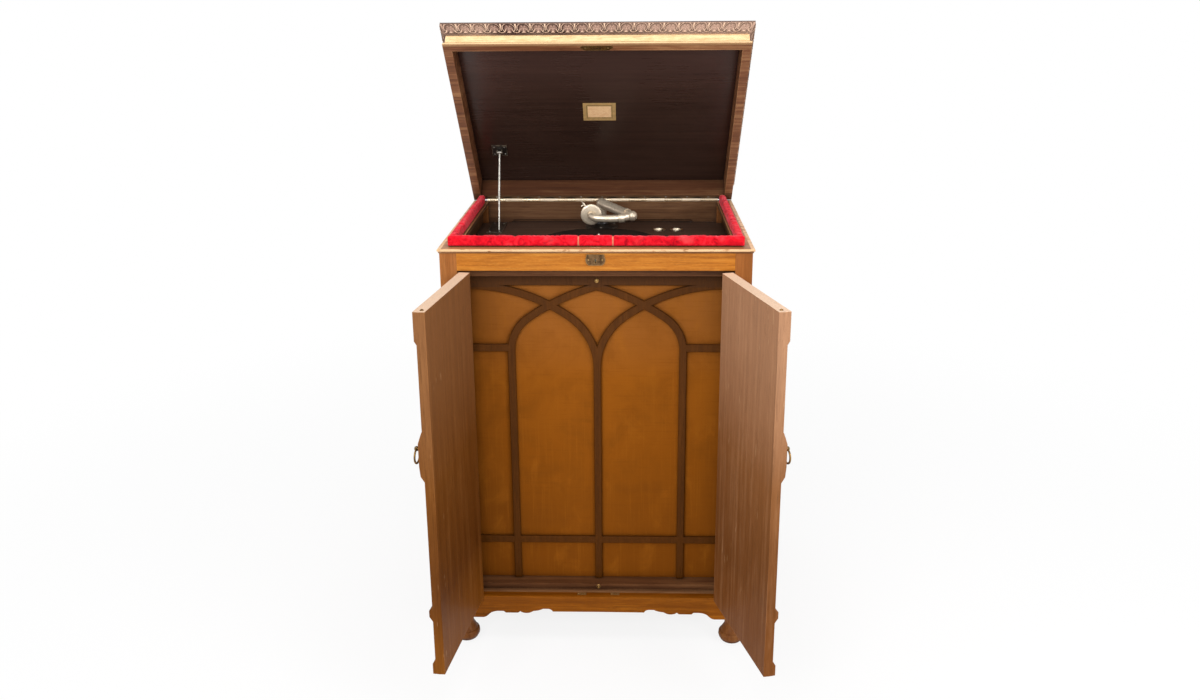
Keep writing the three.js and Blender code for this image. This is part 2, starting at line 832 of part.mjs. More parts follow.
// A bar bent to an arc about (cx, cz), between two angles from the X axis.
function arcBar(cx, cz, radius, from, to, steps) {
  const shape = new THREE.Shape();
  shape.absarc(cx, cz, radius + barWidth / 2, from, to, false);
  shape.absarc(cx, cz, radius - barWidth / 2, to, from, true);
  shape.closePath();
  return bevelled(shape, steps);
}

// A two-centred rib that leaves an upright at (x, z) and bends to one side: a tight arc, then a
// wide one that goes on in the same direction.
function rib(x, z, side, tight, turn, wide, end) {
  const overlap = 0.02;
  const first = radians(turn);
  const c1 = [x + side * tight, z];
  const joint = [c1[0] - side * tight * Math.cos(first), z + tight * Math.sin(first)];
  const c2 = [joint[0] + side * wide * Math.cos(first), joint[1] - wide * Math.sin(first)];
  const spread = (a, b) => (side > 0 ? [Math.PI - b, Math.PI - a] : [a, b]);
  return [
    arcBar(...c1, tight, ...spread(-overlap, first + overlap), 6),
    arcBar(...c2, wide, ...spread(first, end(c2)), 9),
  ];
}

function tracery() {
  const top = grilleTop - grilleTopRailHeight;
  const half = barWidth / 2;
  const pieces = [
    bar([-wideHalf, -stileInner], [grilleFoot, grilleTop]),
    bar([stileInner, wideHalf], [grilleFoot, grilleTop]),
    bar([-wideHalf, wideHalf], [top, grilleTop]),
    bar([-stileInner - 4, stileInner + 4], [lowerBarZ - half, lowerBarZ + half]),
    bar([-half, half], [grilleFoot, centreSpringZ + 4]),
  ];
  for (const side of [-1, 1]) {
    const outer = side * outerBarX;
    pieces.push(bar([outer - half, outer + half], [grilleFoot, outerSpringZ + 4]));
    pieces.push(bar([Math.min(outer, side * (stileInner + 4)), Math.max(outer,
      side * (stileInner + 4))],
      [sideBarZ - half, sideBarZ + half]));
    pieces.push(...rib(0, centreSpringZ, side, centreArc, centreArcTurn, centreUpperArc,
      () => Math.PI / 2));
    pieces.push(...rib(outer, outerSpringZ, -side, outerArc, outerArcTurn, outerUpperArc,
      ([cx]) => Math.acos(Math.abs(cx) / outerUpperArc) + 0.01));
  }
  return join(...pieces);
}

add(cabinet, 'grille_tracery', tracery(), oakDark);

add(cabinet, 'grille_cloth',
  box([-wideHalf, wideHalf], [clothFront, clothFront + clothThickness], [grilleFoot, grilleTop]),
    speakerCloth);

// ---------------------------------------------------------------- horn

// A flared box of thin board behind the grille, up to a square throat below the tone arm.
function horn() {
  const back = mouthBoardFront + mouthBoardThickness;
  const flare = (grow, front, throatTop) => {
    const points = [];
    for (const x of [-1, 1]) {
      for (const z of [hornMouthLow - grow, hornMouthHigh + grow]) {
        points.push(new THREE.Vector3(x * (hornMouthHalf + grow), front, z));
      }
      for (const y of [-1, 1]) {
        const reach = hornThroatHalf + grow;
        points.push(new THREE.Vector3(x * reach, armPivotY + y * reach, throatTop));
      }
    }
    return new ConvexGeometry(points);
  };
  const board = box([-wideHalf, wideHalf], [mouthBoardFront, back], [grilleFoot,
    motorBoardUnder - seat]);
  const collar = (grow, low, high) => box([-hornThroatHalf - grow, hornThroatHalf + grow],
    [armPivotY - hornThroatHalf - grow, armPivotY + hornThroatHalf + grow], [low, high]);
  const shell = join(board, flare(hornWall, back - 2, hornThroatZ), collar(hornWall, hornThroatZ - 1,
    hornCollarTop));
  return cut(shell, flare(0, back - 2, hornThroatZ), collar(0, hornThroatZ - 0.1, hornCollarTop + 1),
    box([-hornMouthHalf, hornMouthHalf], [mouthBoardFront - 1, back], [hornMouthLow, hornMouthHigh]));
}

add(cabinet, 'horn', horn(), plywood);

// ---------------------------------------------------------------- velvet strips

// A stuffed strip along Y: flat below, drawn in at its foot, crowned, and rounded at both ends.
function strip(length) {
  const around = 12;
  const along = Math.max(6, Math.round(length / 32));
  const rings = [];
  for (let i = 0; i <= along; i += 1) {
    const place = i / along;
    const end = Math.min(place, 1 - place) * along;
    const fill = end < 0.5 ? stripEndDraw : 1;
    const plump = 1 - stripGather * (i % 2);
    const ring = [];
    for (let k = 0; k < around; k += 1) {
      const angle = (2 * Math.PI * (k + 0.5)) / around;
      const [c, s] = [Math.cos(angle), Math.sin(angle)];
      const square = (value) => Math.sign(value) * Math.abs(value) ** 0.5;
      const height = (stripHeight / 2) * (1 + square(s) * (s > 0 ? fill * plump : 1));
      const foot = s < 0 ? 1 - stripFootDraw : 1;
      ring.push([(stripWidth / 2) * square(c) * fill * plump * foot, place * length, Math.max(height,
        0)]);
    }
    rings.push(ring);
  }
  return skin(rings, capOf(rings[0].map(([x, , z]) => [x, z])));
}

const stripFoot = caseTop + seat;
const stripOuter = halfWidth - lidWall - 1;
const stripX = stripOuter - stripWidth / 2;
const stripFront = lidWall + 2;

for (const [side, sign] of sides) {
  const from = stripFront + stripWidth + seat;
  add(cabinet, `velvet_strip_${side}`, strip(stripBack - from).translate(sign * stripX, from,
    stripFoot), velvet);
}

[['front_left', -stripOuter, -stripCentreHalf], ['front_centre', -stripCentreHalf, stripCentreHalf],
  ['front_right', stripCentreHalf, stripOuter]].forEach(([place, from, to]) => {
  const length = to - from - 2 * seat;
  add(cabinet, `velvet_strip_${place}`,
    strip(length).rotateZ(-Math.PI / 2).translate(from + seat, stripFront + stripWidth / 2,
      stripFoot), velvet);
});

// ---------------------------------------------------------------- lock bolt

const bolt = new THREE.Group();
bolt.name = 'lock_bolt_slide';
bolt.position.set(0, boltFront, boltFoot);
cabinet.add(bolt);
add(bolt, 'lock_bolt',
  box([-boltWidth / 2, boltWidth / 2], [0, boltThickness], [0, caseTop - 0.5 - boltFoot]), steel);

// ---------------------------------------------------------------- lid

const lid = new THREE.Group();
lid.name = 'lid_hinge';
lid.position.set(0, hingeY, hingeZ);
lid.rotation.x = -radians(lidOpen);
cabinet.add(lid);

// In the closed lid, Y = 0 is its back face and Z = 0 its lower edge.
const lidFront = -hingeY;
const lidInner = halfWidth - lidWall;
const ceiling = lidWallHeight;

const lidProfile = [
  [-lidWall, 0], [lidLipProud - 0.8, 0], [lidLipProud, 0.8], [lidLipProud, lidLipHeight - 2.6],
  [lidLipProud - 0.8, lidLipHeight - 0.8], [lidLipProud - 2.4, lidLipHeight], [0, lidLipHeight + 0.6],
  [-1.2, lidLipHeight + 1.2], [-1.2, lidLipHeight + 2.6], [0, lidLipHeight + 3.4],
  [0, friezeHigh], [-lidWall, friezeHigh],
];
const boltRoomY = boltSpace[1].map((y) => y - hingeY);

// The bolt's keeper: a plate across the lid's front edge, bowed inward, with a curled tip each end.
function keeperPlate(grow, height) {
  const half = keeperWidth / 2 + grow;
  const outer = lidFront + 1.5 - grow;
  const inner = lidFront + 1.5 + keeperReach + grow;
  const tip = outer + keeperReach / 3;
  const shape = new THREE.Shape();
  shape.moveTo(-half * 0.8, outer);
  shape.lineTo(half * 0.8, outer);
  shape.quadraticCurveTo(half * 0.94, outer, half, tip);
  shape.quadraticCurveTo(half * 0.9, inner, half * 0.6, inner);
  shape.lineTo(-half * 0.6, inner);
  shape.quadraticCurveTo(-half * 0.9, inner, -half, tip);
  shape.quadraticCurveTo(-half * 0.94, outer, -half * 0.8, outer);
  return boardXY(shape, height, 4);
}

function lidFrame() {
  const backWall = box([-lidInner - 1, lidInner + 1], [-lidBackWall, 0],
    [hingeSplay + hingeLeaf + seat, friezeHigh]);
  const barrel = rod('x', [0, 0], hingeKnuckle + seat, -lidHingeHalf - seat, lidHingeHalf + seat,
    hingeFacets);
  const bed = keeperPlate(seat, [-1, keeperThickness + seat]);
  const pocket = box(boltSpace[0], boltRoomY, [-1, boltThrow + 2]);
  return cut(join(threeSided(lidProfile, halfWidth, lidFront, 0), backWall), barrel, bed, pocket);
}

add(lid, 'lid_frame', lidFrame(), oak);

add(lid, 'lid_keeper',
  cut(keeperPlate(0, [0, keeperThickness]), box(boltSpace[0], boltRoomY, [-1, keeperThickness + 1])),
    brass);

// Frieze: a cornice that leans out to the top board, for the carving.
const friezeProfile = [
  [seat, friezeLow], [1.4, friezeLow], [2.4, friezeLow + 1.6], [3, friezeLow + 4], [6.5,
    friezeLow + 12],
  [11, friezeHigh - 5], [friezeProud - 1, friezeHigh - 2.4], [friezeProud, friezeHigh - 0.8],
  [friezeProud, friezeHigh], [seat, friezeHigh],
];
add(lid, 'lid_frieze', threeSided(friezeProfile, halfWidth, lidFront, 0), carvedOak);

function lidTop() {
  const low = friezeHigh + seat;
  const reach = halfWidth + friezeProud;
  const ring = (inset, z) => [
    [-reach + inset, lidFront - friezeProud + inset, z],
    [reach - inset, lidFront - friezeProud + inset, z],
    [reach - inset, 0, z],
    [-reach + inset, 0, z],
  ];
  const board = skin([ring(0, low), ring(-0.6, low + 1.4), ring(0, low + 3), ring(3, low + 5),
    ring(4, lidHeight)],
    [[0, 1, 2], [0, 2, 3]]);
  const panel = box([-lidInner + seat, lidInner - seat], [lidFront + lidWall + seat,
    -lidBackWall - seat],
    [ceiling, low + 1]);
  return join(board, panel);
}

add(lid, 'lid_top', lidTop(), lidWood);

function lidLeaf(half) {
  const reach = lidHingeLeafWidth;
  const plate = half === 0
    ? box([hingeSplay, hingeSplay + hingeLeaf], [-reach, 0], [hingePlay / 2,
      2 * lidHingeHalf - hingePlay / 2])
    : box([-hingeSplay - hingeLeaf, -hingeSplay], [-reach, 0], [hingePlay / 2,
      2 * lidHingeHalf - hingePlay / 2]);
  const leaf = stripHinge(plate, 2 * lidHingeHalf, lidHingeKnuckles, half);
  return leaf.rotateY(Math.PI / 2).translate(-lidHingeHalf, 0, 0);
}

add(cabinet, 'lid_hinge_case_leaf', lidLeaf(0).translate(0, hingeY, hingeZ), nickel);
add(lid, 'lid_hinge_lid_leaf', lidLeaf(1), nickel);

// Stay: a bracket under the lid and a rod that slides through the slotted plate on the board.
const stayPivot = [stayX, -stayReach, ceiling - seat - stayDrop];

function stayBracket() {
  const base = ceiling - seat;
  const plate = box([stayX - 20, stayX + 20], [-stayReach - 20, -stayReach + 20], [base - 2, base]);
  const pieces = [plate];
  for (const x of [stayX - 7.5, stayX + 5.5]) {
    pieces.push(box([x, x + 2], [-stayReach - 5, -stayReach + 5], [stayPivot[2], base - 1]));
    pieces.push(rod('x', [-stayReach, stayPivot[2]], 5, x, x + 2, 16));
  }
  pieces.push(rod('x', [-stayReach, stayPivot[2]], stayPin, stayX - 6, stayX + 6, 12));
  return join(...pieces);
}

add(lid, 'stay_bracket', stayBracket(), blackIron);

const swing = radians(lidOpen);
const openPivot = [
  hingeY - stayReach * Math.cos(swing) + stayPivot[2] * Math.sin(swing),
  hingeZ + stayReach * Math.sin(swing) + stayPivot[2] * Math.cos(swing),
];
const stayLean = Math.atan2(openPivot[0] - staySlotY, openPivot[1] - motorBoardTop);

const stay = new THREE.Group();
stay.name = 'stay_pivot';
stay.position.set(...stayPivot);
stay.rotation.x = swing - stayLean;
lid.add(stay);

function stayRod() {
  const eye = rod('x', [0, 0], 4.6, -5, 5, 16);
  const shank = rod('z', [0, 0], stayRodRadius, -stayRodLength, -3, 12);
  const bore = rod('x', [0, 0], (stayPin + pinPlay) / Math.cos(Math.PI / 12), -6, 6, 12);
  return cut(join(eye, shank), bore);
}

add(stay, 'stay_rod', stayRod(), nickel);

// ---------------------------------------------------------------- doors

// In a closed door, X = 0 and Y = 0 lie on the hinge's pin and Z is the height above the floor.
const doorNear = doorPinInset;

// The outer face in profile: bands across the top, low down and at the foot.
function doorShape() {
  const high = doorTop;
  const band = doorPinForward;
  return outline([
    [slabBack, doorBottom], [slabBack, high], [band, high], [band, high - topBandHeight],
    [slabFace, high - topBandHeight - 8], [slabFace, high - lowerBandTop],
    [slabFace - lowerBandProud, high - lowerBandTop - 9], [slabFace - lowerBandProud,
      high - lowerBandTop - 24],
    [slabFace, high - lowerBandTop - 35], [slabFace, doorBottom + bottomBandHeight],
    [slabFace - bottomBandProud, doorBottom + bottomBandHeight - 11], [slabFace - bottomBandProud,
      doorBottom],
  ]);
}

function bossShape() {
  const top = doorTop - bossTop;
  const face = slabFace - bossProud;
  return outline([
    [slabFace + 1, top + 2], [slabFace - 1, top], [slabFace - 5, top - 11], [face, top - 26],
    [face, top - bossHeight + 36], [face + 2, top - bossHeight + 14], [slabFace - 1,
      top - bossHeight + 3], [slabFace + 1, top - bossHeight],
  ]);
}

// A mitred moulding planted on the door's face around one field.
function faceFrame([x0, x1], [z0, z1]) {
  const profile = [[0, -1], [0, 2], [3, frameProud], [7, frameProud - 1], [frameWidth, 1],
    [frameWidth, -1]];
  const at = (x, z, sx, sz) => profile.map(([inset, proud]) => [x + sx * inset, slabFace - proud,
    z + sz * inset]);
  return skin([at(x0, z0, 1, 1), at(x1, z0, -1, 1), at(x1, z1, -1, -1), at(x0, z1, 1, -1)]);
}

const pullX = doorFar - pullFromEdge;
const pullZ = doorTop - pullBelowTop;
const pullFace = slabFace - bossProud;
const catchDepth = 12;

function doorPanel() {
  const inset = [doorNear + frameMargin, doorFar - frameMargin];
  const fields = [
    [doorTop - bossTop + frameMargin / 2, doorTop - topBandHeight - 8 - frameMargin / 2],
    [doorTop - lowerBandTop + frameMargin / 2, doorTop - bossTop - bossHeight - frameMargin / 2],
    [doorBottom + bottomBandHeight + frameMargin / 3, doorTop - lowerBandTop - 35 - frameMargin / 3],
  ];
  const slab = boardYZ(doorShape(), [doorNear, doorFar]);
  const boss = boardYZ(bossShape(), [doorFar - bossWidth, doorFar]);
  const whole = join(slab, boss, ...fields.map((field) => faceFrame(inset, field)));
  const closing = boardXY(outline([[doorFar - 1.5, slabBack + 0.01], [doorFar + 1, slabFace],
    [doorFar + 2, slabBack + 1]]),
    [doorBottom - 1, doorTop + 1]);
  const knuckleRoom = rod('z', [0, 0], hingeKnuckle + seat, doorBottom - 1, doorTop + 1, hingeFacets);
  const leafBed = box([doorNear - 1, doorNear + hingeLeaf + seat], [-1, hingeLeafWidth + seat],
    [doorHingeLow - seat, doorHingeLow + doorHingeLength + seat]);
  const catchHole = rod('z', [catchX, catchY], catchRadius + seat,
    doorTop - catchDepth - catchProud - seat,
    doorTop + 1, 20);
  return cut(whole, closing, knuckleRoom, leafBed, catchHole);
}

function doorLeaf(half) {
  const x = half === 0
    ? [-doorPinInset - seat - hingeLeaf, -doorPinInset - seat]
    : [doorNear, doorNear + hingeLeaf];
  const plate = box(x, [0, hingeLeafWidth], [hingePlay / 2, doorHingeLength - hingePlay / 2]);
  return stripHinge(plate, doorHingeLength, doorHingeKnuckles, half).translate(0, 0, doorHingeLow);
}

function pullPlate() {
  const disc = [[0, 0], [pullPlateRadius - 1, 0], [pullPlateRadius, 0.8], [pullPlateRadius - 1,
    pullPlateThickness],
    [4.5, pullPlateThickness + 1], [3.6, pullPlateThickness + 2.5], [3.4, pullStand - 3], [0,
      pullStand - 3]];
  const head = new THREE.SphereGeometry(pullWire + 3.2, 12, 8).translate(0, 0, pullStand - seat);
  const bore = rod('x', [0, pullStand - seat], pullWire + 0.8, -9, 9, 12);
  const stud = cut(join(turned(disc, 20), head), bore);
  return stud.rotateX(Math.PI / 2).translate(pullX, pullFace - seat, pullZ);
}

function doorCatch() {
  const dome = new THREE.SphereGeometry(catchRadius, 12, 6).translate(0, 0, catchProud - catchRadius);
  return join(rod('z', [0, 0], catchRadius, -catchDepth, catchProud - catchRadius, 12), dome);
}

const handed = (sign, geometry) => (sign < 0 ? geometry : mirrorX(fromManifold(toManifold(geometry))));

for (const [side, sign] of sides) {
  const door = new THREE.Group();
  door.name = `door_${side}_hinge`;
  door.position.set(sign * pinX, -doorPinForward, 0);
  door.rotation.z = sign * radians(side === 'left' ? leftDoorOpen : rightDoorOpen);
  cabinet.add(door);
  add(door, `door_${side}`, handed(sign, doorPanel()), oak);
  add(door, `door_${side}_hinge_leaf`, handed(sign, doorLeaf(1)), brass);
  add(cabinet, `case_${side}_hinge_leaf`,
    handed(sign, doorLeaf(0)).translate(sign * pinX, -doorPinForward, 0), brass);
  add(door, `pull_plate_${side}`, handed(sign, pullPlate()), brass);

  const pull = new THREE.Group();
  pull.name = `pull_${side}_swing`;
  pull.position.set(-sign * pullX, pullFace - pullStand, pullZ);
  door.add(pull);
  const ring = new THREE.TorusGeometry(pullRingRadius, pullWire, 8, 24).rotateX(Math.PI / 2);
  add(pull, `pull_ring_${side}`, fromManifold(toManifold(ring.translate(0, 0, -pullRingRadius))),
    brass);

  const catchGroup = new THREE.Group();
  catchGroup.name = `catch_${side}_slide`;
  catchGroup.position.set(-sign * catchX, catchY, doorTop);
  door.add(catchGroup);
  add(catchGroup, `door_catch_${side}`, doorCatch(), brass);
}

// ---------------------------------------------------------------- turntable

const turntable = new THREE.Group();
turntable.name = 'turntable_spin';
turntable.position.set(0, spindleY, 0);
cabinet.add(turntable);

const hubUnder = platterTop - 8;
const platterBore = spindleRadius + seat;
const platterProfile = [
  [platterBore, platterTop], [platterRadius - 5, platterTop], [platterRadius - 1.5, platterTop - 1.5],
  [platterRadius, platterTop - 5], [platterRadius, platterTop - platterRim],
    [platterRadius - platterSkin, platterTop - platterRim],
  [platterRadius - platterSkin, platterTop - 4.6], [platterRadius - 6, platterTop - platterSkin],
    [16, platterTop - platterSkin],
  [14, hubUnder], [platterBore, hubUnder], [platterBore, platterTop],
];
add(turntable, 'turntable_platter', turned(platterProfile, 44), nickel);

const matLow = platterTop + seat;
const matEdge = platterRadius - 3;
add(turntable, 'turntable_mat', turned([[platterBore, matLow], [matEdge, matLow], [matEdge,
  matLow + matThickness],
  [platterBore, matLow + matThickness], [platterBore, matLow]], 44), felt);

const spindleFoot = motorZ - 20;
const spindleProfile = [
  [0, spindleFoot], [spindleRadius, spindleFoot], [spindleRadius, motorZ - 5], [9, motorZ - 5], [9,
    motorZ + 3],
  [spindleRadius, motorZ + 3], [spindleRadius, motorBoardTop + 1], [8, motorBoardTop + 1], [8,
    hubUnder - seat],
  [spindleRadius, hubUnder - seat], [spindleRadius, spindleTop - 3], [spindleRadius - 1.4,
    spindleTop], [0, spindleTop],
];
add(turntable, 'turntable_spindle', turned(spindleProfile, 20), steel);

// ---------------------------------------------------------------- spring motor

const motorHang = motorBoardUnder - seat;
const cheek = [motorHalf - 4, motorHalf];
const motorFoot = spindleFoot - seat - 8;

function motorFrame() {
  const plate = box([-motorHalf - 6, motorHalf + 6], [motorY - barrelRadius - 8,
    governorY + governorRadius + 8],
    [motorHang - 5, motorHang]);
  const span = [motorY - barrelRadius, governorY + governorRadius];
  const bridge = box([-motorHalf, motorHalf], [spindleY - 10, spindleY + 10], [motorFoot,
    motorFoot + 8]);
  const cheeks = [-1, 1].map((sign) => box(cheek.map((x) => x * sign).sort((a, b) => a - b), span,
    [motorFoot, motorHang - 1]));
  return cut(join(plate, bridge, ...cheeks),
    rod('z', [0, spindleY], spindleRadius + 1.4, motorHang - 9, motorHang + 1),
    rod('x', [motorY, motorZ], windingShaftRadius + bearingPlay, -motorHalf - 1, motorHalf + 1),
    rod('x', [governorY, motorZ], governorShaft + bearingPlay, -motorHalf - 1, motorHalf + 1));
}

add(cabinet, 'motor_frame', motorFrame(), blackIron);

function axle(name, y) {
  const group = new THREE.Group();
  group.name = name;
  group.position.set(0, y, motorZ);
  cabinet.add(group);
  return group;
}

const turnedX = (profile, facets) => turned(profile, facets).rotateY(Math.PI / 2);

const barrelEnd = motorHalf - 4 - 2;
const barrelBore = windingShaftRadius + bearingPlay;
add(axle('spring_barrel_spin', motorY), 'spring_barrel', turnedX([
  [barrelBore, -barrelEnd], [barrelRadius - 2, -barrelEnd], [barrelRadius - 2, barrelEnd - 12],
    [barrelRadius, barrelEnd - 12],
  [barrelRadius, barrelEnd - 4], [barrelRadius - 8, barrelEnd - 4], [barrelRadius - 8, barrelEnd],
    [barrelBore, barrelEnd],
  [barrelBore, -barrelEnd],
], 24), steel);

const shaftEnd = sideInner + sidePanelThickness + 6;
add(axle('winding_shaft_spin', motorY), 'winding_shaft', turnedX([
  [0, -motorHalf - 4], [windingShaftRadius, -motorHalf - 4], [windingShaftRadius, motorHalf + 2],
  [windingShaftRadius + 3, motorHalf + 2], [windingShaftRadius + 3, motorHalf + 10],
    [windingShaftRadius, motorHalf + 10],
  [windingShaftRadius, shaftEnd - 1], [windingShaftRadius - 1, shaftEnd], [0, shaftEnd],
], 16), steel);

function governor() {
  const end = motorHalf + 2;
  const spine = turnedX([[0, -end], [governorShaft, -end], [governorShaft, -34], [6, -34], [6, -28],
    [governorShaft, -28],
    [governorShaft, 12], [6, 12], [6, 18], [governorShaft, 18], [governorShaft, 26], [governorRadius,
      26],
    [governorRadius, 29], [governorShaft, 29], [governorShaft, end], [0, end]], 12);
  const pieces = [spine];
  for (let i = 0; i < 3; i += 1) {
    const spring = box([-31, 15], [-2, 2], [3.6, 6]);
    const weight = box([-12, -4], [-4, 4], [5, 12]);
    for (const piece of [spring, weight]) {
      pieces.push(piece.rotateX((2 * Math.PI * i) / 3));
    }
  }
  return join(...pieces);
}

add(axle('governor_spin', governorY), 'governor', governor(), brass);

// ---------------------------------------------------------------- tone arm

const flangeLow = motorBoardTop + seat;
const stemLow = flangeLow + 25;

add(cabinet, 'tonearm_base', turned([
  [throatBore, stemLow - seat], [armRadius + 5, stemLow - seat], [armRadius + 6, stemLow - 5],
    [armRadius + 8, flangeLow + 11],
  [armFlangeRadius - 12, flangeLow + 6], [armFlangeRadius - 2, flangeLow + 4.5], [armFlangeRadius,
    flangeLow + 3],
  [armFlangeRadius, flangeLow], [throatOuter, flangeLow], [throatOuter, motorBoardUnder - 20],
  [hornThroatHalf - 4, hornCollarTop + 20], [hornThroatHalf + 4, hornCollarTop + 8],
  [hornThroatHalf + 4, hornCollarTop + seat], [hornThroatHalf - 6, hornCollarTop + seat],
  [throatBore, motorBoardUnder - 20], [throatBore, stemLow - seat],
], 28).translate(0, armPivotY, 0), blackIron);

const arm = new THREE.Group();
arm.name = 'tonearm_swing';
arm.position.set(0, armPivotY, 0);
cabinet.add(arm);

// Directions in plan are turned from straight forward: the arm lies at armTurn and the folded-back
// gooseneck to the left; the knuckle's axis halves the angle between them.
const halfTurn = radians((armTurn - 90) / 2);
const alongArm = radians(armTurn);
const knuckleSplit = 0.2;

function halfSpace(sign) {
  const all = 2 * armLength;
  const [near, far] = sign > 0 ? [-all, -knuckleSplit] : [knuckleSplit, all];
  return box([-all, all], [near, far], [-all, all]).rotateZ(halfTurn);
}

// The knuckle lies a little lower than the elbow, so the arm falls toward it.
const armReach = Math.sqrt(armLength ** 2 - armFall ** 2);
const knuckleAt = [armReach * Math.sin(alongArm), -armReach * Math.cos(alongArm), knuckleZ];

function armTube() {
  const stem = rod('z', [0, 0], armRadius, stemLow, armAxisZ, 24);
  const elbow = new THREE.SphereGeometry(armRadius + 0.8, 16, 10).translate(0, 0, armAxisZ);
  const foot = rod('z', [0, 0], armRadius + 4, stemLow, stemLow + 5, 24);
  const run = rod('y', [0, 0], armRadius - 1, 26 - armLength, 0, 20, armRadius);
  const end = rod('y', [0, 0], armRadius - 3.2, -armLength, 26 - armLength, 20, armRadius - 1);
  const collar = rod('y', [0, 0], armRadius + 0.8, 22 - armLength, 30 - armLength, 20);
  const fall = Math.asin(armFall / armLength);
  const level = [run, end, collar].map((piece) => piece.rotateX(fall).translate(0, 0, armAxisZ));
  const knuckle = new THREE.SphereGeometry(knuckleRadius, 16, 12).translate(0, -armReach, knuckleZ);
  const whole = join(stem, elbow, foot, ...level, knuckle).rotateZ(alongArm);
  return common(whole, halfSpace(-1).translate(...knuckleAt));
}

add(arm, 'tonearm_tube', armTube(), nickel);

const neck = new THREE.Group();
neck.name = 'gooseneck_turn';
neck.position.set(...knuckleAt);
neck.rotation.z = halfTurn;
arm.add(neck);

// Measured from the knuckle: the neck runs to the left and sags, then turns back into the sound box.
function gooseneck() {
  const reach = -gooseneckReach;
  const path = new THREE.CatmullRomCurve3([
    new THREE.Vector3(4, 0, 1),
    new THREE.Vector3(-16, -1, -gooseneckSag / 2),
    new THREE.Vector3(-42, -1, -gooseneckSag),
    new THREE.Vector3(reach + 28, -1, -gooseneckSag),
    new THREE.Vector3(reach + 8, 1, -gooseneckSag + 2),
    new THREE.Vector3(reach, soundBoxBack - 7, -soundBoxDrop),
    new THREE.Vector3(reach, soundBoxBack - seat, -soundBoxDrop),
  ], false, 'centripetal');
  const tube = taperedTube(path, (place) => gooseneckRadius * (1 - 0.08 * place), 18, 14);
  const knuckle = new THREE.SphereGeometry(knuckleRadius - 0.6, 16, 12);
  const collar = rod('x', [0, 0], gooseneckRadius + 1.6, 0, 15, 20).translate(-34, -1,
    -gooseneckSag + 1);
  return common(join(tube, knuckle, collar), halfSpace(1)).rotateZ(-halfTurn);
}

add(neck, 'gooseneck', gooseneck(), nickel);

// Sound box: a shallow drum with its back to the neck, and the needle's chuck on its rim. While
// the neck is turned back, the needle points up.
function soundBox() {
  const depth = soundBoxDepth;
  const r = soundBoxRadius;
  const drum = turned([[0, 0], [10, 0], [10, 2], [r - 5, 2.6], [r - 2, 3], [r, 4.6], [r, depth - 4],
    [r - 1, depth - 1],
    [r - 4.5, depth], [r - 5.5, depth - 3.5], [5, depth - 3.5], [4, depth - 1], [0, depth - 1]], 32);
  const chuck = rod('x', [0, depth / 2], 3.4, r - 5, needleLength - 8, 14);
  const screw = rod('y', [r + 5, depth / 2], 1.6, -9, 0, 10);
  const needle = rod('x', [0, depth / 2], 1.2, needleLength - 9, needleLength, 10, 0.25);
  const holder = join(chuck, screw, needle).rotateZ(-Math.PI / 2 - radians(needleLean));
  return join(drum, holder).rotateX(-Math.PI / 2)
    .translate(-gooseneckReach, soundBoxBack, -soundBoxDrop).rotateZ(-halfTurn);
}

add(neck, 'sound_box', soundBox(), nickel);

// ---------------------------------------------------------------- brake

const brake = new THREE.Group();
brake.name = 'brake_swing';
brake.position.set(brakeX, brakeY, 0);
cabinet.add(brake);

const brakeSpan = Math.hypot(brakeX, spindleY - brakeY);
const padRest = platterRadius + brakePad + brakeClear;
const brakeAngle = Math.acos((brakeSpan ** 2 + brakeLength ** 2 - padRest ** 2) / (2 * brakeSpan * brakeLength));
brake.rotation.z = Math.atan2(spindleY - brakeY, -brakeX) + brakeAngle;

function brakeLever() {
  const low = motorBoardTop + seat;
  return join(rod('z', [0, 0], 7, low, low + 6, 20), box([-22, brakeLength], [-4, 4], [low, low + 2]),
    rod('z', [brakeLength, 0], brakePad, low, platterTop - 2, 16), rod('z', [-22, 0], 5, low,
      low + 9, 16));
}

add(brake, 'brake_lever', brakeLever(), nickel);

// ---------------------------------------------------------------- place on its footprint

const bounds = new THREE.Box3().setFromObject(cabinet, true);
cabinet.position.set(-(bounds.min.x + bounds.max.x) / 2, -(bounds.min.y + bounds.max.y) / 2,
  -bounds.min.z);

export default cabinet;
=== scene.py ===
"""A gramophone cabinet, dressed for its portrait: oak, velvet, grille cloth, nickel and brass."""

import json
import math
import random

import bpy
import numpy as np
from mathutils import Euler, Matrix, Vector

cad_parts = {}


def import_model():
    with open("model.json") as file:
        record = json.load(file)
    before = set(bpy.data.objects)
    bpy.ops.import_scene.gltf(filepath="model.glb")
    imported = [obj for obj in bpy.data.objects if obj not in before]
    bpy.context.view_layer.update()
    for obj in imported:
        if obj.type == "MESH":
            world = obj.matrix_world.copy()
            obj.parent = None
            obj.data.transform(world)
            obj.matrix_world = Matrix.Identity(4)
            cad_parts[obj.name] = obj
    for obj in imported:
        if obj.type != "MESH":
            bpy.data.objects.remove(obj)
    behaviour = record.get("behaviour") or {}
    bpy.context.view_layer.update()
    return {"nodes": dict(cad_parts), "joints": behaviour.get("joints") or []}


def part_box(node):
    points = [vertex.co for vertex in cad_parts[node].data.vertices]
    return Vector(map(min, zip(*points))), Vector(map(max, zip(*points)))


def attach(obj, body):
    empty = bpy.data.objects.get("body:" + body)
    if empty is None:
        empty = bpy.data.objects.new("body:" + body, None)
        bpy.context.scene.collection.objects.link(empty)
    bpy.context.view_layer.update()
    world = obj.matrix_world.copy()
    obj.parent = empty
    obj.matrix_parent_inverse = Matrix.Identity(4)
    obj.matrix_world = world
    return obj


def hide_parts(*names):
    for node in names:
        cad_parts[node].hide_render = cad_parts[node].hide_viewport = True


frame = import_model()
joints = {joint["name"]: joint for joint in frame["joints"]}

# ---------------------------------------------------------------- places

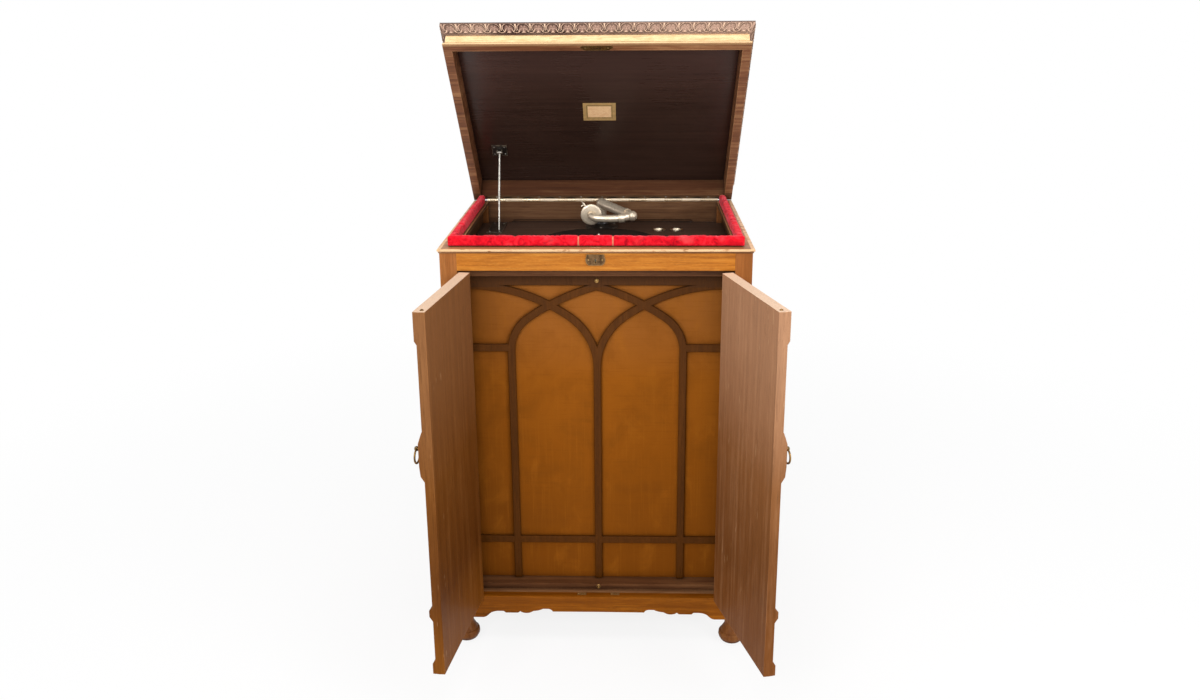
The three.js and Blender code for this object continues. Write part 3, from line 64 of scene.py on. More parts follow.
rail_low, rail_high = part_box("front_rail")
case_front = Vector(((rail_low.x + rail_high.x) / 2, rail_low.y, 0))

lid_open = math.radians(joints["lid_hinge"]["range_deg"][1])
left_open = math.radians(joints["left_door_hinge"]["range_deg"][1])
right_open = -math.radians(joints["right_door_hinge"]["range_deg"][0])

in_case = Matrix.Translation(case_front)
in_lid = Matrix.Translation(joints["lid_hinge"]["pos_m"]) @ Matrix.Rotation(-lid_open, 4, "X")
in_left_door = (
    Matrix.Translation(joints["left_door_hinge"]["pos_m"])
    @ Matrix.Rotation(-left_open, 4, "Z")
)
in_right_door = (
    Matrix.Translation(joints["right_door_hinge"]["pos_m"])
    @ Matrix.Rotation(right_open, 4, "Z")
    @ Matrix.Scale(-1, 4, (1, 0, 0))
)


def mm(*numbers):
    return Vector(numbers) / 1000


def stand(name, data):
    """A new object in the scene that shows a mesh, a light or a camera."""
    made = bpy.data.objects.new(name, data)
    bpy.context.scene.collection.objects.link(made)
    return made


rim_low, rim_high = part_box("case_top_moulding")
nose_reach = case_front.y - rim_low.y
rim_top = rim_high.z
case_half = 0.342
wall_inside = 0.3385
well_low = 0.9
rim_to_well = 0.012
door_top_edge = 0.9534
lid_wall_front = -0.5762
lid_lip_top = 0.0113
lid_groove = (0.0096, 0.0122)
lid_foot_line = 0.0022
lid_back_wall = -0.03
leaf_knuckle = -0.0062
scallop_length = 0.058

# ---------------------------------------------------------------- paints


def shade(red, green, blue):
    """A colour as it reads on a screen, 0 to 255, as the light it gives back."""

    def light(part):
        part /= 255
        return part / 12.92 if part <= 0.04045 else ((part + 0.055) / 1.055) ** 2.4

    return (light(red), light(green), light(blue), 1.0)


def dimmed(tone, share):
    return tuple(min(1, part * share) for part in tone[:3]) + (1.0,)


class Wire:
    """What leaves a node. Sums and products of wires add the nodes that work them out."""

    def __init__(self, paint, socket):
        self.paint = paint
        self.socket = socket

    def sum_of(self, operation, first, second):
        return self.paint.wire("ShaderNodeMath", {"operation": operation}, {0: first, 1: second})

    def __add__(self, other):
        return self.sum_of("ADD", self, other)

    def __radd__(self, other):
        return self.sum_of("ADD", other, self)

    def __sub__(self, other):
        return self.sum_of("SUBTRACT", self, other)

    def __rsub__(self, other):
        return self.sum_of("SUBTRACT", other, self)

    def __mul__(self, other):
        return self.sum_of("MULTIPLY", self, other)

    def __rmul__(self, other):
        return self.sum_of("MULTIPLY", other, self)

    def __abs__(self):
        return self.sum_of("ABSOLUTE", self, 0.0)

    def larger(self, other):
        return self.sum_of("MAXIMUM", self, other)

    def cosine(self):
        return self.sum_of("COSINE", self, 0.0)

    def __gt__(self, other):
        return self.sum_of("GREATER_THAN", self, other)

    def __lt__(self, other):
        return self.sum_of("LESS_THAN", self, other)


class Paint:
    """One finish, built up from nodes around a principled shader."""

    def __init__(self, name, **finish):
        self.material = bpy.data.materials.new(name)
        self.material.use_nodes = True
        self.tree = self.material.node_tree
        self.tree.nodes.clear()
        self.shader = self.node("ShaderNodeBsdfPrincipled", None, finish)
        self.node("ShaderNodeOutputMaterial", None,
                  {"Surface": Wire(self, self.shader.outputs[0])})

    def node(self, kind, settings=None, sockets=None):
        made = self.tree.nodes.new(kind)
        for key, value in (settings or {}).items():
            if key == "stops":
                self.set_stops(made.color_ramp, value)
            else:
                setattr(made, key, value)
        for key, value in (sockets or {}).items():
            self.feed(made.inputs[key], value)
        return made

    def wire(self, kind, settings=None, sockets=None, output=0):
        return Wire(self, self.node(kind, settings, sockets).outputs[output])

    def feed(self, socket, value):
        if isinstance(value, Wire):
            self.tree.links.new(value.socket, socket)
        else:
            socket.default_value = value

    def set_stops(self, ramp, stops):
        while len(ramp.elements) < len(stops):
            ramp.elements.new(1.0)
        for element, (place, colour) in zip(ramp.elements, stops):
            element.position = place
            element.color = colour

    def gives(self, **sockets):
        """Feeds the principled shader's sockets; an underscore stands for a space."""
        for key, value in sockets.items():
            self.feed(self.shader.inputs[key.replace("_", " ")], value)
        return self.material

    def place(self, home=None):
        """The point on the piece, in metres, as measured from the piece's home."""
        point = self.wire("ShaderNodeTexCoord", None, None, 3)
        if home is None:
            return point
        back = home.inverted()
        turns = {"Location": back.translation, "Rotation": back.to_euler()}
        return self.wire("ShaderNodeMapping", None, {"Vector": point, **turns})

    def stretch(self, point, sizes):
        return self.wire("ShaderNodeVectorMath", {"operation": "MULTIPLY"}, {0: point, 1: sizes})

    def noise(self, point, scale, detail=2.0, roughness=0.5, distortion=0.0):
        sockets = {"Vector": point, "Scale": scale, "Detail": detail, "Roughness": roughness}
        return self.wire("ShaderNodeTexNoise", None, {**sockets, "Distortion": distortion})

    def ramp(self, value, *stops):
        return self.wire("ShaderNodeValToRGB", {"stops": stops}, {"Fac": value})

    def step(self, value, low, high, bottom=0.0, top=1.0):
        sockets = {"Value": value, "From Min": low, "From Max": high}
        sockets |= {"To Min": bottom, "To Max": top}
        return self.wire("ShaderNodeMapRange", {"interpolation_type": "SMOOTHSTEP"}, sockets)

    def mix(self, factor, first, second, blend="MIX"):
        settings = {"data_type": "RGBA", "blend_type": blend}
        return self.wire("ShaderNodeMix", settings, {0: factor, 6: first, 7: second}, 2)

    def bump(self, height, depth, strength=1.0):
        sockets = {"Height": height, "Distance": depth, "Strength": strength}
        return self.wire("ShaderNodeBump", None, sockets)

    def split(self, point):
        parts = self.node("ShaderNodeSeparateXYZ", None, {0: point})
        return [Wire(self, socket) for socket in parts.outputs]

    def shelter(self, distance, inside=False):
        """How open the surface is: 1 in the open and less in corners, or at edges when inside."""
        settings = {"samples": 4, "inside": inside}
        return self.wire("ShaderNodeAmbientOcclusion", settings, {"Distance": distance}, 1)


along_scale = {"X": (0.08, 1, 1), "Y": (1, 0.08, 1), "Z": (1, 1, 0.08)}


def oak(name, dark, middle, light, along="Z", home=None, gloss=0.4, shine=0.16, fleck=0.0,
        wear=0.3, pore=0.6, change=None):
    """Polished oak: long figure, open pores, ray flecks, rubbed edges, painted shade in corners.
    """
    dark, middle, light = shade(*dark), shade(*middle), shade(*light)
    paint = Paint(name, **{"Specular IOR Level": shine, "Coat Roughness": 0.25})
    point = paint.place(home)
    grain = paint.stretch(point, along_scale[along])
    fine = tuple(0.012 if axis == along else 1 for axis in "XYZ")
    figure = paint.noise(grain, 34, 5, 0.62, 1.1)
    lines = paint.noise(grain, 230, 4, 0.65, 0.5)
    fibre = paint.noise(paint.stretch(point, fine), 1250, 3, 0.7)
    patch = paint.noise(point, 4.5, 3, 0.55)
    streak = paint.noise(paint.stretch(point, fine), 95, 3, 0.6, 0.3)
    pores = paint.step(fibre, 0.56, 0.66) * paint.step(figure, 0.3, 0.6)
    tone = figure * 0.42 + lines * 0.3 + streak * 0.42 + patch * 0.24 - 0.19
    colour = paint.ramp(tone, (0.3, dark), (0.5, middle), (0.72, light))
    if change is not None:
        colour = change(paint, point, colour)
    colour = paint.mix(pores * pore, colour, dimmed(dark, 0.4))
    if fleck:
        across = tuple(90 if axis == along else 520 for axis in "XYZ")
        rays = paint.noise(paint.stretch(point, across), 1.0, 3, 0.6, 0.9)
        colour = paint.mix(paint.step(rays, 0.53, 0.6) * fleck, colour, light)
    # Painted shade: the colour is darkened toward a dark tone where corners and recesses keep
    # light out.
    corner = paint.step(paint.shelter(0.014), 0.3, 0.95)
    colour = paint.mix((1 - corner) * 0.6, colour, dimmed(dark, 0.25))
    edge = paint.step(paint.shelter(0.003, True), 0.5, 0.85, 1.0, 0.0)
    edge = edge * paint.step(patch, 0.35, 0.6)
    colour = paint.mix(edge * wear, colour, dimmed(light, 1.4))
    height = lines * 0.6 + fibre * 0.5 - pores
    return paint.gives(
        Base_Color=colour,
        Roughness=paint.step(patch + lines * 0.4, 0.5, 0.9, gloss, gloss + 0.16),
        Coat_Weight=corner * shine * 0.5,
        Normal=paint.bump(height, 0.0004, pore * 0.67),
    )


def relief_shade_and_wax(paint, point, colour):
    """Carving: hollows dark from wax and painted shade, ridges pale from rubbing and painted
    highlight.
    """
    relief = paint.wire("ShaderNodeAttribute", {"attribute_name": "relief"}, None, 2)
    cloud = paint.noise(point, 60, 4, 0.6)
    # Painted shade low in the relief and painted highlight high on it, over wax and rubbing.
    tone = paint.ramp(relief + cloud * 0.12 - 0.06, (0.08, shade(58, 36, 30)),
                      (0.4, shade(122, 92, 80)),
                      (0.68, shade(168, 134, 118)), (0.95, shade(232, 198, 168)))
    return paint.mix(0.92, colour, tone)


def painted_well_shade(paint, point, colour):
    """Painted shade: inside the well the case's walls and posts are drawn dark."""
    across, depth, up = paint.split(point)
    side = abs(across - case_front.x)
    inside = (up > well_low) * (side < wall_inside) * (depth > case_front.y + 0.02)
    return paint.mix(inside * 0.88, colour, shade(60, 38, 24))


def faded(low, high, lower, upper):
    """Draws a piece's colour toward one tone at its foot and another at its head."""

    def change(paint, point, colour):
        # Painted shade inside the well.
        colour = painted_well_shade(paint, point, colour)
        _, _, up = paint.split(point)
        colour = paint.mix(paint.step(up, high, low) * 0.6, colour, shade(*lower))
        return paint.mix(paint.step(up, low, high) * 0.5, colour, shade(*upper))

    return change


def nickel(name, colour, tarnish, rough=0.2, metal=1.0):
    """Plated metal with finger marks, fine scratches and tarnish in the corners."""
    colour, tarnish = shade(*colour), shade(*tarnish)
    paint = Paint(name, Metallic=metal)
    point = paint.place()
    smear = paint.noise(point, 38, 4, 0.6, 0.6)
    scratch = paint.noise(paint.stretch(point, (1, 6, 3)), 900, 2)
    corner = paint.step(paint.shelter(0.006), 0.3, 0.95)
    spots = paint.step(paint.noise(point, 260, 3, 0.7), 0.6, 0.74)
    tone = paint.mix(paint.step(smear, 0.35, 0.7) * 0.35, colour, tarnish)
    tone = paint.mix((1 - corner) * 0.7, tone, tarnish)
    tone = paint.mix(spots * 0.4, tone, tarnish)
    return paint.gives(
        Base_Color=tone,
        Roughness=paint.step(smear + scratch * 0.25, 0.4, 0.85, rough, rough + 0.22),
        Normal=paint.bump(scratch * 0.3 + smear, 0.00012, 0.35),
    )


def leaf_paint():
    """The lid's hinge leaf: painted shadow and dark reflection in scallops, with plate tone
    between them.
    """
    paint = Paint("dark hinge leaf", Metallic=0.3)
    point = paint.place(in_lid)
    across, depth, _ = paint.split(point)
    scallop = (across * (2 * math.pi / scallop_length)).cosine()
    smear = paint.noise(point, 60, 4, 0.6, 0.6)
    # Painted shadow and dark reflection in scallops; the plate's own tone shows between them.
    plate_between_shadows = paint.step(depth * -1 + scallop * 0.004 + smear * 0.003, 0.0095, 0.0125)
    tone = paint.mix(plate_between_shadows, paint.mix(smear, shade(26, 18, 14), shade(52, 36, 26)),
                     shade(108, 80, 54))
    return paint.gives(
        Base_Color=paint.mix(depth > leaf_knuckle, tone, shade(232, 220, 200)),
        Roughness=paint.step(smear, 0.3, 0.75, 0.34, 0.6),
        Normal=paint.bump(smear + plate_between_shadows, 0.0002, 0.4),
    )


def enamel(name, colour, rough=0.28):
    """Baked black enamel or painted iron, rubbed through a little at the edges."""
    paint = Paint(name)
    point = paint.place()
    cloud = paint.noise(point, 45, 4, 0.6)
    edge = paint.step(paint.shelter(0.002, True), 0.5, 0.9, 1.0,
                      0.0) * paint.step(cloud, 0.4, 0.55)
    tone = paint.mix(cloud * 0.5, shade(*colour), shade(60, 52, 46))
    tone = paint.mix(edge * 0.6, tone, shade(150, 132, 108))
    return paint.gives(
        Base_Color=tone,
        Roughness=paint.step(cloud, 0.3, 0.75, rough, rough + 0.25),
        Normal=paint.bump(paint.noise(point, 620, 3), 0.00008, 0.4),
    )


def velvet_paint():
    """Crushed red pile: paler where rubbed and where it turns away; painted shade in the folds."""
    sheen = {"Sheen Weight": 0.75, "Sheen Roughness": 0.42, "Sheen Tint": shade(255, 120, 130)}
    paint = Paint("red velvet", Roughness=0.85, **{"Specular IOR Level": 0.1, **sheen})
    point = paint.place()
    brush = paint.noise(point, 55, 4, 0.65, 1.4)
    rub = paint.noise(point, 16, 3, 0.6)
    pile = paint.noise(point, 2400, 2, 0.6)
    colour = paint.ramp(brush, (0.3, shade(160, 6, 26)), (0.5, shade(222, 14, 34)),
                        (0.72, shade(246, 44, 58)))
    colour = paint.mix(paint.step(rub, 0.54, 0.74) * 0.35, colour, shade(250, 110, 112))
    # Painted shade: darker in folds and creases, where less light reaches.
    corner = paint.step(paint.shelter(0.008), 0.2, 0.9)
    colour = paint.mix((1 - corner) * 0.75, colour, shade(90, 4, 14))
    across, depth, _ = paint.split(point)
    centre_low, centre_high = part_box("velvet_strip_front_centre")
    from_middle = abs(across - (centre_low.x + centre_high.x) / 2)
    from_seam = abs(from_middle - (centre_high.x - centre_low.x) / 2)
    frayed = paint.step(from_seam + brush * 0.003, 0.0042,
                        0.0022) * (depth < centre_high.y + 0.002)
    colour = paint.mix(frayed * 0.75, colour, shade(214, 150, 118))
    return paint.gives(Base_Color=colour, Normal=paint.bump(pile * 0.7 + brush, 0.0007, 0.55))


def felt_paint(name, dark, light):
    paint = Paint(name, Roughness=0.95, **{"Specular IOR Level": 0.1})
    point = paint.place()
    hairs = paint.noise(point, 1500, 3, 0.7, 2.0)
    cloud = paint.noise(point, 22, 4, 0.6)
    nap = paint.step(hairs * 0.6 + cloud * 0.5, 0.35, 0.75)
    colour = paint.mix(nap, shade(*dark), shade(*light))
    return paint.gives(Base_Color=colour, Normal=paint.bump(hairs, 0.0004, 0.6))


def grille_cloth_paint():
    """Tightly woven cloth, gold at the top and browner toward the foot, with slubs and stains."""
    paint = Paint("woven grille cloth", Roughness=0.9, **{"Specular IOR Level": 0.06})
    point = paint.place()
    across, _, up = paint.split(point)
    warp = paint.wire("ShaderNodeTexWave", {"bands_direction": "X"},
                      {"Vector": point, "Scale": 410.0, "Distortion": 0.4})
    weft = paint.wire("ShaderNodeTexWave", {"bands_direction": "Z"},
                      {"Vector": point, "Scale": 360.0, "Distortion": 0.4})
    weave = paint.wire("ShaderNodeTexChecker", None, {"Vector": point, "Scale": 1150.0}, 1)
    threads = warp * weave + weft * (1 - weave)
    slub = paint.noise(paint.stretch(point, (9, 1, 260)), 1.0, 3, 0.6)
    streak = paint.noise(paint.stretch(point, (240, 1, 7)), 1.0, 3, 0.6)
    stain = paint.noise(point, 9, 5, 0.62, 0.7)
    drop = paint.noise(paint.stretch(point, (1, 1, 0.55)), 17, 4, 0.6, 0.5)
    height = paint.step(up, 0.14, 0.93)
    colour = paint.ramp(height, (0.0, shade(128, 70, 10)), (0.4, shade(144, 80, 13)),
                        (0.75, shade(158, 90, 20)),
                        (1.0, shade(160, 98, 42)))
    side = paint.step(abs(across), 0.2, 0.3)
    colour = paint.mix(side * 0.35, colour, shade(112, 62, 14))
    colour = paint.mix(paint.step(stain, 0.42, 0.72) * 0.4, colour, shade(116, 64, 12))
    colour = paint.mix(paint.step(drop, 0.52, 0.75) * 0.25, colour, shade(182, 110, 30))
    colour = paint.mix(paint.step(slub, 0.5, 0.72) * 0.22, colour, shade(112, 60, 10))
    colour = paint.mix(paint.step(streak, 0.5, 0.75) * 0.2, colour, shade(176, 106, 30))
    colour = paint.mix(threads * 0.22, colour, shade(92, 48, 8))
    # Painted shade: darker on the cloth close behind the tracery and its frame.
    corner = paint.step(paint.shelter(0.02), 0.3, 0.95)
    colour = paint.mix((1 - corner) * 0.5, colour, shade(66, 34, 8))
    return paint.gives(Base_Color=colour, Normal=paint.bump(threads + slub * 0.5, 0.0003, 0.5))


def brass_paint(name, bright, dull, rough=0.34, metal=0.9):
    """Brass gone brown, bright only where hands and keys have rubbed it."""
    paint = Paint(name, Metallic=metal)
    point = paint.place()
    cloud = paint.noise(point, 90, 4, 0.65, 0.4)
    corner = paint.step(paint.shelter(0.004), 0.3, 0.95)
    edge = paint.step(paint.shelter(0.0012, True), 0.5, 0.92, 1.0, 0.0)
    tone = paint.mix(paint.step(cloud, 0.36, 0.66), shade(*dull), shade(*bright))
    tone = paint.mix((1 - corner) * 0.8, tone, shade(34, 24, 14))
    tone = paint.mix(edge * 0.5, tone, shade(232, 196, 128))
    return paint.gives(
        Base_Color=tone,
        Roughness=paint.step(cloud, 0.3, 0.7, rough + 0.18, rough),
        Normal=paint.bump(cloud, 0.00012, 0.5),
    )


def door_face(head, middle, low, foot):
    """Paler at the head, darker toward the foot, with a few pale scrapes on the inner face."""

    def change(paint, point, colour):
        _, _, up = paint.split(point)
        height = paint.step(up, 0.12, 0.95)
        stops = zip((0.0, 0.12, 0.55, 1.0), (foot, low, middle, head))
        fade = paint.ramp(height, *[(place, shade(*tone)) for place, tone in stops])
        colour = paint.mix(0.62, colour, fade)
        scrape = paint.noise(paint.stretch(point, (300, 300, 22)), 1.0, 1, 0.4)
        spare = paint.noise(point, 11, 1)
        mark = paint.step(scrape, 0.71, 0.78) * paint.step(spare, 0.52, 0.62)
        colour = paint.mix(mark * 0.55, colour, shade(214, 176, 132))
        # Painted highlight on the door's top edge, where it faces up to the light.
        return paint.mix((up > door_top_edge) * 0.8, colour, shade(236, 204, 176))

    return change


def rim_highlight_and_shade(paint, point, colour):
    """The rim: painted highlight on its nose, painted shadow under it, painted shade on its well
    walls.
    """
    across, depth, up = paint.split(point)
    side = abs(across - case_front.x)
    outer = (side - case_half).larger((depth - case_front.y) * -1)
    cloud = paint.noise(paint.stretch(point, (0.4, 0.4, 1)), 150, 4, 0.6)
    nose = paint.step(outer, nose_reach - 0.0016, nose_reach - 0.0004)
    under = paint.step(up, rim_top - 0.0052, rim_top - 0.0064)
    # Painted highlight along the nose, broken up by a cloud.
    colour = paint.mix(nose * paint.step(cloud, 0.3, 0.5) * 0.75, colour, shade(246, 206, 158))
    # Painted shadow under the nose.
    colour = paint.mix(under * 0.7, colour, shade(112, 70, 40))
    # Painted shade on the rim's walls inside the well.
    return paint.mix((outer < -rim_to_well) * (up < rim_top - 0.002) * 0.8, colour,
                     shade(52, 32, 20))


def lid_ceiling(paint, point, colour):
    """The lid's panel is paler toward its front edge."""
    _, depth, _ = paint.split(point)
    return paint.mix(paint.step(depth, -0.3, -0.56) * 0.4, colour, shade(96, 70, 64))


def lid_rim(paint, point, colour):
    """The outside of the lid's wall is drawn pale; the back of its inside is drawn dark."""
    _, depth, up = paint.split(point)
    front = depth < lid_wall_front
    outside = front * (up > lid_lip_top)
    lip = front * (up < lid_lip_top)
    inside = depth > lid_back_wall
    cloud = paint.noise(paint.stretch(point, (0.3, 1, 1)), 130, 4, 0.6)
    pale_outside = paint.ramp(cloud, (0.3, shade(226, 182, 128)), (0.6, shade(250, 216, 164)))
    colour = paint.mix(outside * 0.92, colour, pale_outside)
    groove = front * (up > lid_groove[0]) * (up < lid_groove[1])
    colour = paint.mix(lip * 0.9, colour, shade(232, 198, 150))
    colour = paint.mix(groove * 0.8, colour, shade(128, 92, 48))
    colour = paint.mix(front * (up < lid_foot_line) * 0.8, colour, shade(122, 78, 42))
    return paint.mix(inside * 0.62, colour, shade(70, 42, 28))


paints = {
    "post_oak": oak("upright oak", (96, 52, 20), (150, 90, 42), (190, 128, 72), shine=0.1,
                    change=faded(0.04, 0.4, (70, 36, 8), (158, 96, 46))),
    "left_door_oak": oak("left door oak", (66, 34, 10), (114, 68, 28), (154, 104, 58),
                         home=in_left_door, shine=0.05, gloss=0.5,
                         change=door_face((140, 96, 62), (108, 62, 18), (86, 44, 6),
                                          (124, 70, 8))),
    "right_door_oak": oak("right door oak", (80, 46, 22), (134, 86, 52), (184, 136, 98),
                          home=in_right_door, shine=0.05, gloss=0.5,
                          change=door_face((190, 145, 112), (134, 87, 48), (98, 54, 10),
                                           (108, 58, 4))),
    # The side panels carry painted shade inside the well.
    "side_oak": oak("side oak", (84, 46, 18), (142, 84, 38), (182, 118, 62),
                    change=painted_well_shade),
    "rail_oak": oak("golden rail oak", (120, 62, 8), (178, 106, 28), (212, 142, 54), "X",
                    fleck=0.22),
    "rim_oak": oak("rim oak", (112, 68, 36), (166, 114, 72), (206, 160, 114), "X", wear=0.7,
                   change=rim_highlight_and_shade),
    "apron_oak": oak("apron oak", (88, 44, 4), (124, 67, 7), (160, 94, 20), "X", shine=0.06),
    "back_rail_oak": oak("well oak", (60, 36, 20), (98, 65, 40), (128, 92, 62), "X"),
    "grille_oak": oak("tracery oak", (52, 26, 4), (80, 43, 7), (108, 62, 20), shine=0.04,
                      fleck=0.2, change=faded(0.2, 0.95, (78, 42, 8), (90, 55, 28))),
    "stop_oak": oak("stop oak", (56, 32, 17), (95, 59, 34), (128, 87, 54), "X", shine=0.1),
    "well_oak": oak("motor board oak", (46, 32, 25), (78, 57, 46), (104, 80, 65), "X", gloss=0.34,
                    shine=0.1),
    "sill_oak": oak("sill oak", (82, 50, 28), (126, 86, 54), (166, 124, 86), "X", gloss=0.5),
    "lid_side_oak": oak("lid wall oak", (70, 38, 22), (122, 76, 48), (186, 138, 94), "X", in_lid,
                        change=lid_rim),
    "lid_panel_oak": oak("lid panel oak", (44, 29, 24), (55, 37, 30), (66, 46, 38), "X", in_lid,
                         gloss=0.22, shine=0.3, pore=0.15, change=lid_ceiling),
    "carved_oak": oak("carved oak", (46, 30, 22), (104, 78, 62), (168, 138, 118), "X", in_lid,
                      gloss=0.45, wear=0.9),
    "carving": oak("carved oak band", (60, 40, 30), (120, 92, 76), (176, 146, 126), "X", in_lid,
                   gloss=0.5, shine=0.08, wear=0.4, change=relief_shade_and_wax),
    "back_ply": oak("back board", (96, 66, 38), (140, 102, 64), (170, 130, 88), gloss=0.6,
                    wear=0.1),
    "nickel": nickel("nickel plate", (232, 216, 190), (132, 108, 76)),
    "arm_nickel": nickel("rubbed nickel", (238, 222, 198), (120, 96, 66), 0.26, 0.62),
    "leaf": leaf_paint(),
    "platter": nickel("platter plate", (150, 140, 124), (84, 70, 52), 0.3),
    "steel": nickel("plain steel", (176, 172, 164), (92, 82, 70), 0.3),
    "brass": brass_paint("aged brass", (176, 134, 74), (104, 74, 40)),
    "dark_brass": brass_paint("dark brass", (128, 98, 66), (70, 50, 32)),
    "iron": enamel("black enamel", (22, 19, 17)),
    "velvet": velvet_paint(),
    "felt": felt_paint("brown felt", (22, 15, 11), (44, 32, 25)),
    "cloth": grille_cloth_paint(),
}

painted = {
    "post_oak": ["leg_front_left", "leg_front_right", "leg_back_left", "leg_back_right"],
    "left_door_oak": ["door_left"],
    "right_door_oak": ["door_right"],
    "side_oak": ["side_panel_left", "side_panel_right"],
    "rail_oak": ["front_rail"],
    "rim_oak": ["case_top_moulding"],
    "apron_oak": ["apron"],
    "back_rail_oak": ["case_back_rail"],
    "grille_oak": ["grille_tracery"],
    "stop_oak": ["door_stop_riser", "door_stop_head"],
    "well_oak": ["motor_board"],
    "sill_oak": ["bottom_board"],
    "lid_side_oak": ["lid_frame"],
    "lid_panel_oak": ["lid_top"],
    "carved_oak": ["lid_frieze"],
    "back_ply": ["back_panel", "horn"],
    "nickel": ["needle_cup_1", "needle_cup_2", "lid_hinge_case_leaf", "brake_lever"],
    "arm_nickel": ["tonearm_tube", "gooseneck", "sound_box"],
    "leaf": ["lid_hinge_lid_leaf"],
    "platter": ["turntable_platter"],
    "steel": ["stay_rod", "lock_bolt", "turntable_spindle", "spring_barrel", "winding_shaft"],
    "brass": ["lid_keeper", "pull_ring_left", "pull_ring_right", "door_left_hinge_leaf",
              "door_right_hinge_leaf", "case_left_hinge_leaf", "case_right_hinge_leaf",
              "door_catch_left", "door_catch_right", "governor"],
    "dark_brass": ["escutcheon", "pull_plate_left", "pull_plate_right"],
    "iron": ["stay_guide_plate", "tonearm_base", "motor_frame", "stay_bracket"],
    "felt": ["turntable_mat"],
}


def smooth_group():
    """Shades a mesh smooth, with its edges kept crisp where faces meet at a real angle."""
    group = bpy.data.node_groups.new("smooth_to_edges", "GeometryNodeTree")
    group.interface.new_socket("Geometry", in_out="INPUT", socket_type="NodeSocketGeometry")
    group.interface.new_socket("Geometry", in_out="OUTPUT", socket_type="NodeSocketGeometry")
    entry, leave = group.nodes.new("NodeGroupInput"), group.nodes.new("NodeGroupOutput")
    weld = group.nodes.new("GeometryNodeMergeByDistance")
    weld.inputs["Distance"].default_value = 0.00002
    angle = group.nodes.new("GeometryNodeInputMeshEdgeAngle")
    sharp = group.nodes.new("FunctionNodeCompare")
    sharp.operation = "GREATER_THAN"
    sharp.inputs[1].default_value = math.radians(33)
    soft, hard = (group.nodes.new("GeometryNodeSetShadeSmooth") for _ in range(2))
    hard.domain = "EDGE"
    hard.inputs["Shade Smooth"].default_value = False
    link = group.links.new
    link(entry.outputs[0], weld.inputs["Geometry"])
    link(weld.outputs["Geometry"], soft.inputs["Geometry"])
    link(soft.outputs["Geometry"], hard.inputs["Geometry"])
    link(angle.outputs[0], sharp.inputs[0])
    link(sharp.outputs[0], hard.inputs["Selection"])
    link(hard.outputs["Geometry"], leave.inputs[0])
    return group


smooth_to_edges = smooth_group()


def smooth(piece):
    piece.modifiers.new("smooth to edges", "NODES").node_group = smooth_to_edges


for paint_name, names in painted.items():
    for name in names:
        piece = frame["nodes"][name]
        piece.data.materials.clear()
        piece.data.materials.append(paints[paint_name])
        smooth(piece)

# ---------------------------------------------------------------- pieces made of points and faces


class Solid:
    """Points and faces gathered from simple forms, to become one piece."""

    def __init__(self):
        self.points = []
        self.faces = []

    def add(self, points, faces, matrix=Matrix.Identity(4)):
        start = len(self.points)
        self.points += [matrix @ Vector(point) for point in points]
        flip = matrix.determinant() < 0
        for face in faces:
            face = [start + corner for corner in face]
            self.faces.append(face[::-1] if flip else face)
        return self

    def turned(self, profile, count, matrix=Matrix.Identity(4)):
        """A [radius, height] profile turned about Z; the ends of the profile lie on the axis."""
        points = []
        faces = []
        for radius, height in profile:
            for k in range(count):
                angle = 2 * math.pi * k / count
                points.append((radius * math.cos(angle), radius * math.sin(angle), height))
        for i in range(len(profile) - 1):
            for k in range(count):
                here, there = i * count + k, i * count + (k + 1) % count
                faces.append([here, there, there + count, here + count])
        faces.append(list(range(count))[::-1])
        faces.append([(len(profile) - 1) * count + k for k in range(count)])
        return self.add(points, faces, matrix)

    def slab(self, low, high, matrix=Matrix.Identity(4)):
        (x0, y0, z0), (x1, y1, z1) = low, high
        points = [(x, y, z) for z in (z0, z1) for y in (y0, y1) for x in (x0, x1)]
        faces = [[0, 2, 3, 1], [4, 5, 7, 6], [0, 1, 5, 4], [2, 6, 7, 3], [0, 4, 6, 2],
                 [1, 3, 7, 5]]
        return self.add(points, faces, matrix)

    def screw(self, matrix, radius=0.0032, slot=0.35):
        """A slotted screw head that stands a little proud, seen along its own Z."""
        half = radius * 0.14
        turn = Matrix.Rotation(slot, 4, "Z")
        for side in (1, -1):
            rim = []
            for k in range(9):
                start = math.asin(half / radius)
                angle = start + (math.pi - 2 * start) * k / 8
                rim.append((radius * math.cos(angle), side * radius * math.sin(angle)))
            top = [(x * 0.78, side * max(abs(y) * 0.78, half), radius * 0.34) for x, y in rim]
            low = [(x, y, -radius * 0.1) for x, y in rim]
            count = len(rim)
            faces = [[k, k + 1, count + k + 1, count + k] for k in range(count - 1)]
            faces.append([count - 1, 0, count, 2 * count - 1])
            faces.append([count + k for k in range(count)])
            if side < 0:
                faces = [face[::-1] for face in faces]
            self.add(low + top, faces, matrix @ turn)
        turns = [k * math.pi / 8 for k in range(16)]
        ring = [(radius * 0.96 * math.cos(a), radius * 0.96 * math.sin(a), 0.0) for a in turns]
        return self.add(ring, [list(range(16))], matrix @ turn)

    def piece(self, name, paint, body, slot):
        mesh = bpy.data.meshes.new(name)
        mesh.from_pydata([tuple(point) for point in self.points], [], self.faces)
        mesh.validate()
        mesh.materials.append(paints[paint])
        made = stand(name, mesh)
        smooth(made)
        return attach(made, body)


def facing(matrix, x, y, z, axis):
    """A place on a surface: Z leaves it along an axis such as '-Y'. Millimetres."""
    turns = {
        "+Z": Matrix.Identity(4),
        "-Z": Matrix.Rotation(math.pi, 4, "X"),
        "-Y": Matrix.Rotation(math.pi / 2, 4, "X"),
        "+Y": Matrix.Rotation(-math.pi / 2, 4, "X"),
        "+X": Matrix.Rotation(math.pi / 2, 4, "Y"),
        "-X": Matrix.Rotation(-math.pi / 2, 4, "Y"),
    }
    return matrix @ Matrix.Translation(mm(x, y, z)) @ turns[axis]


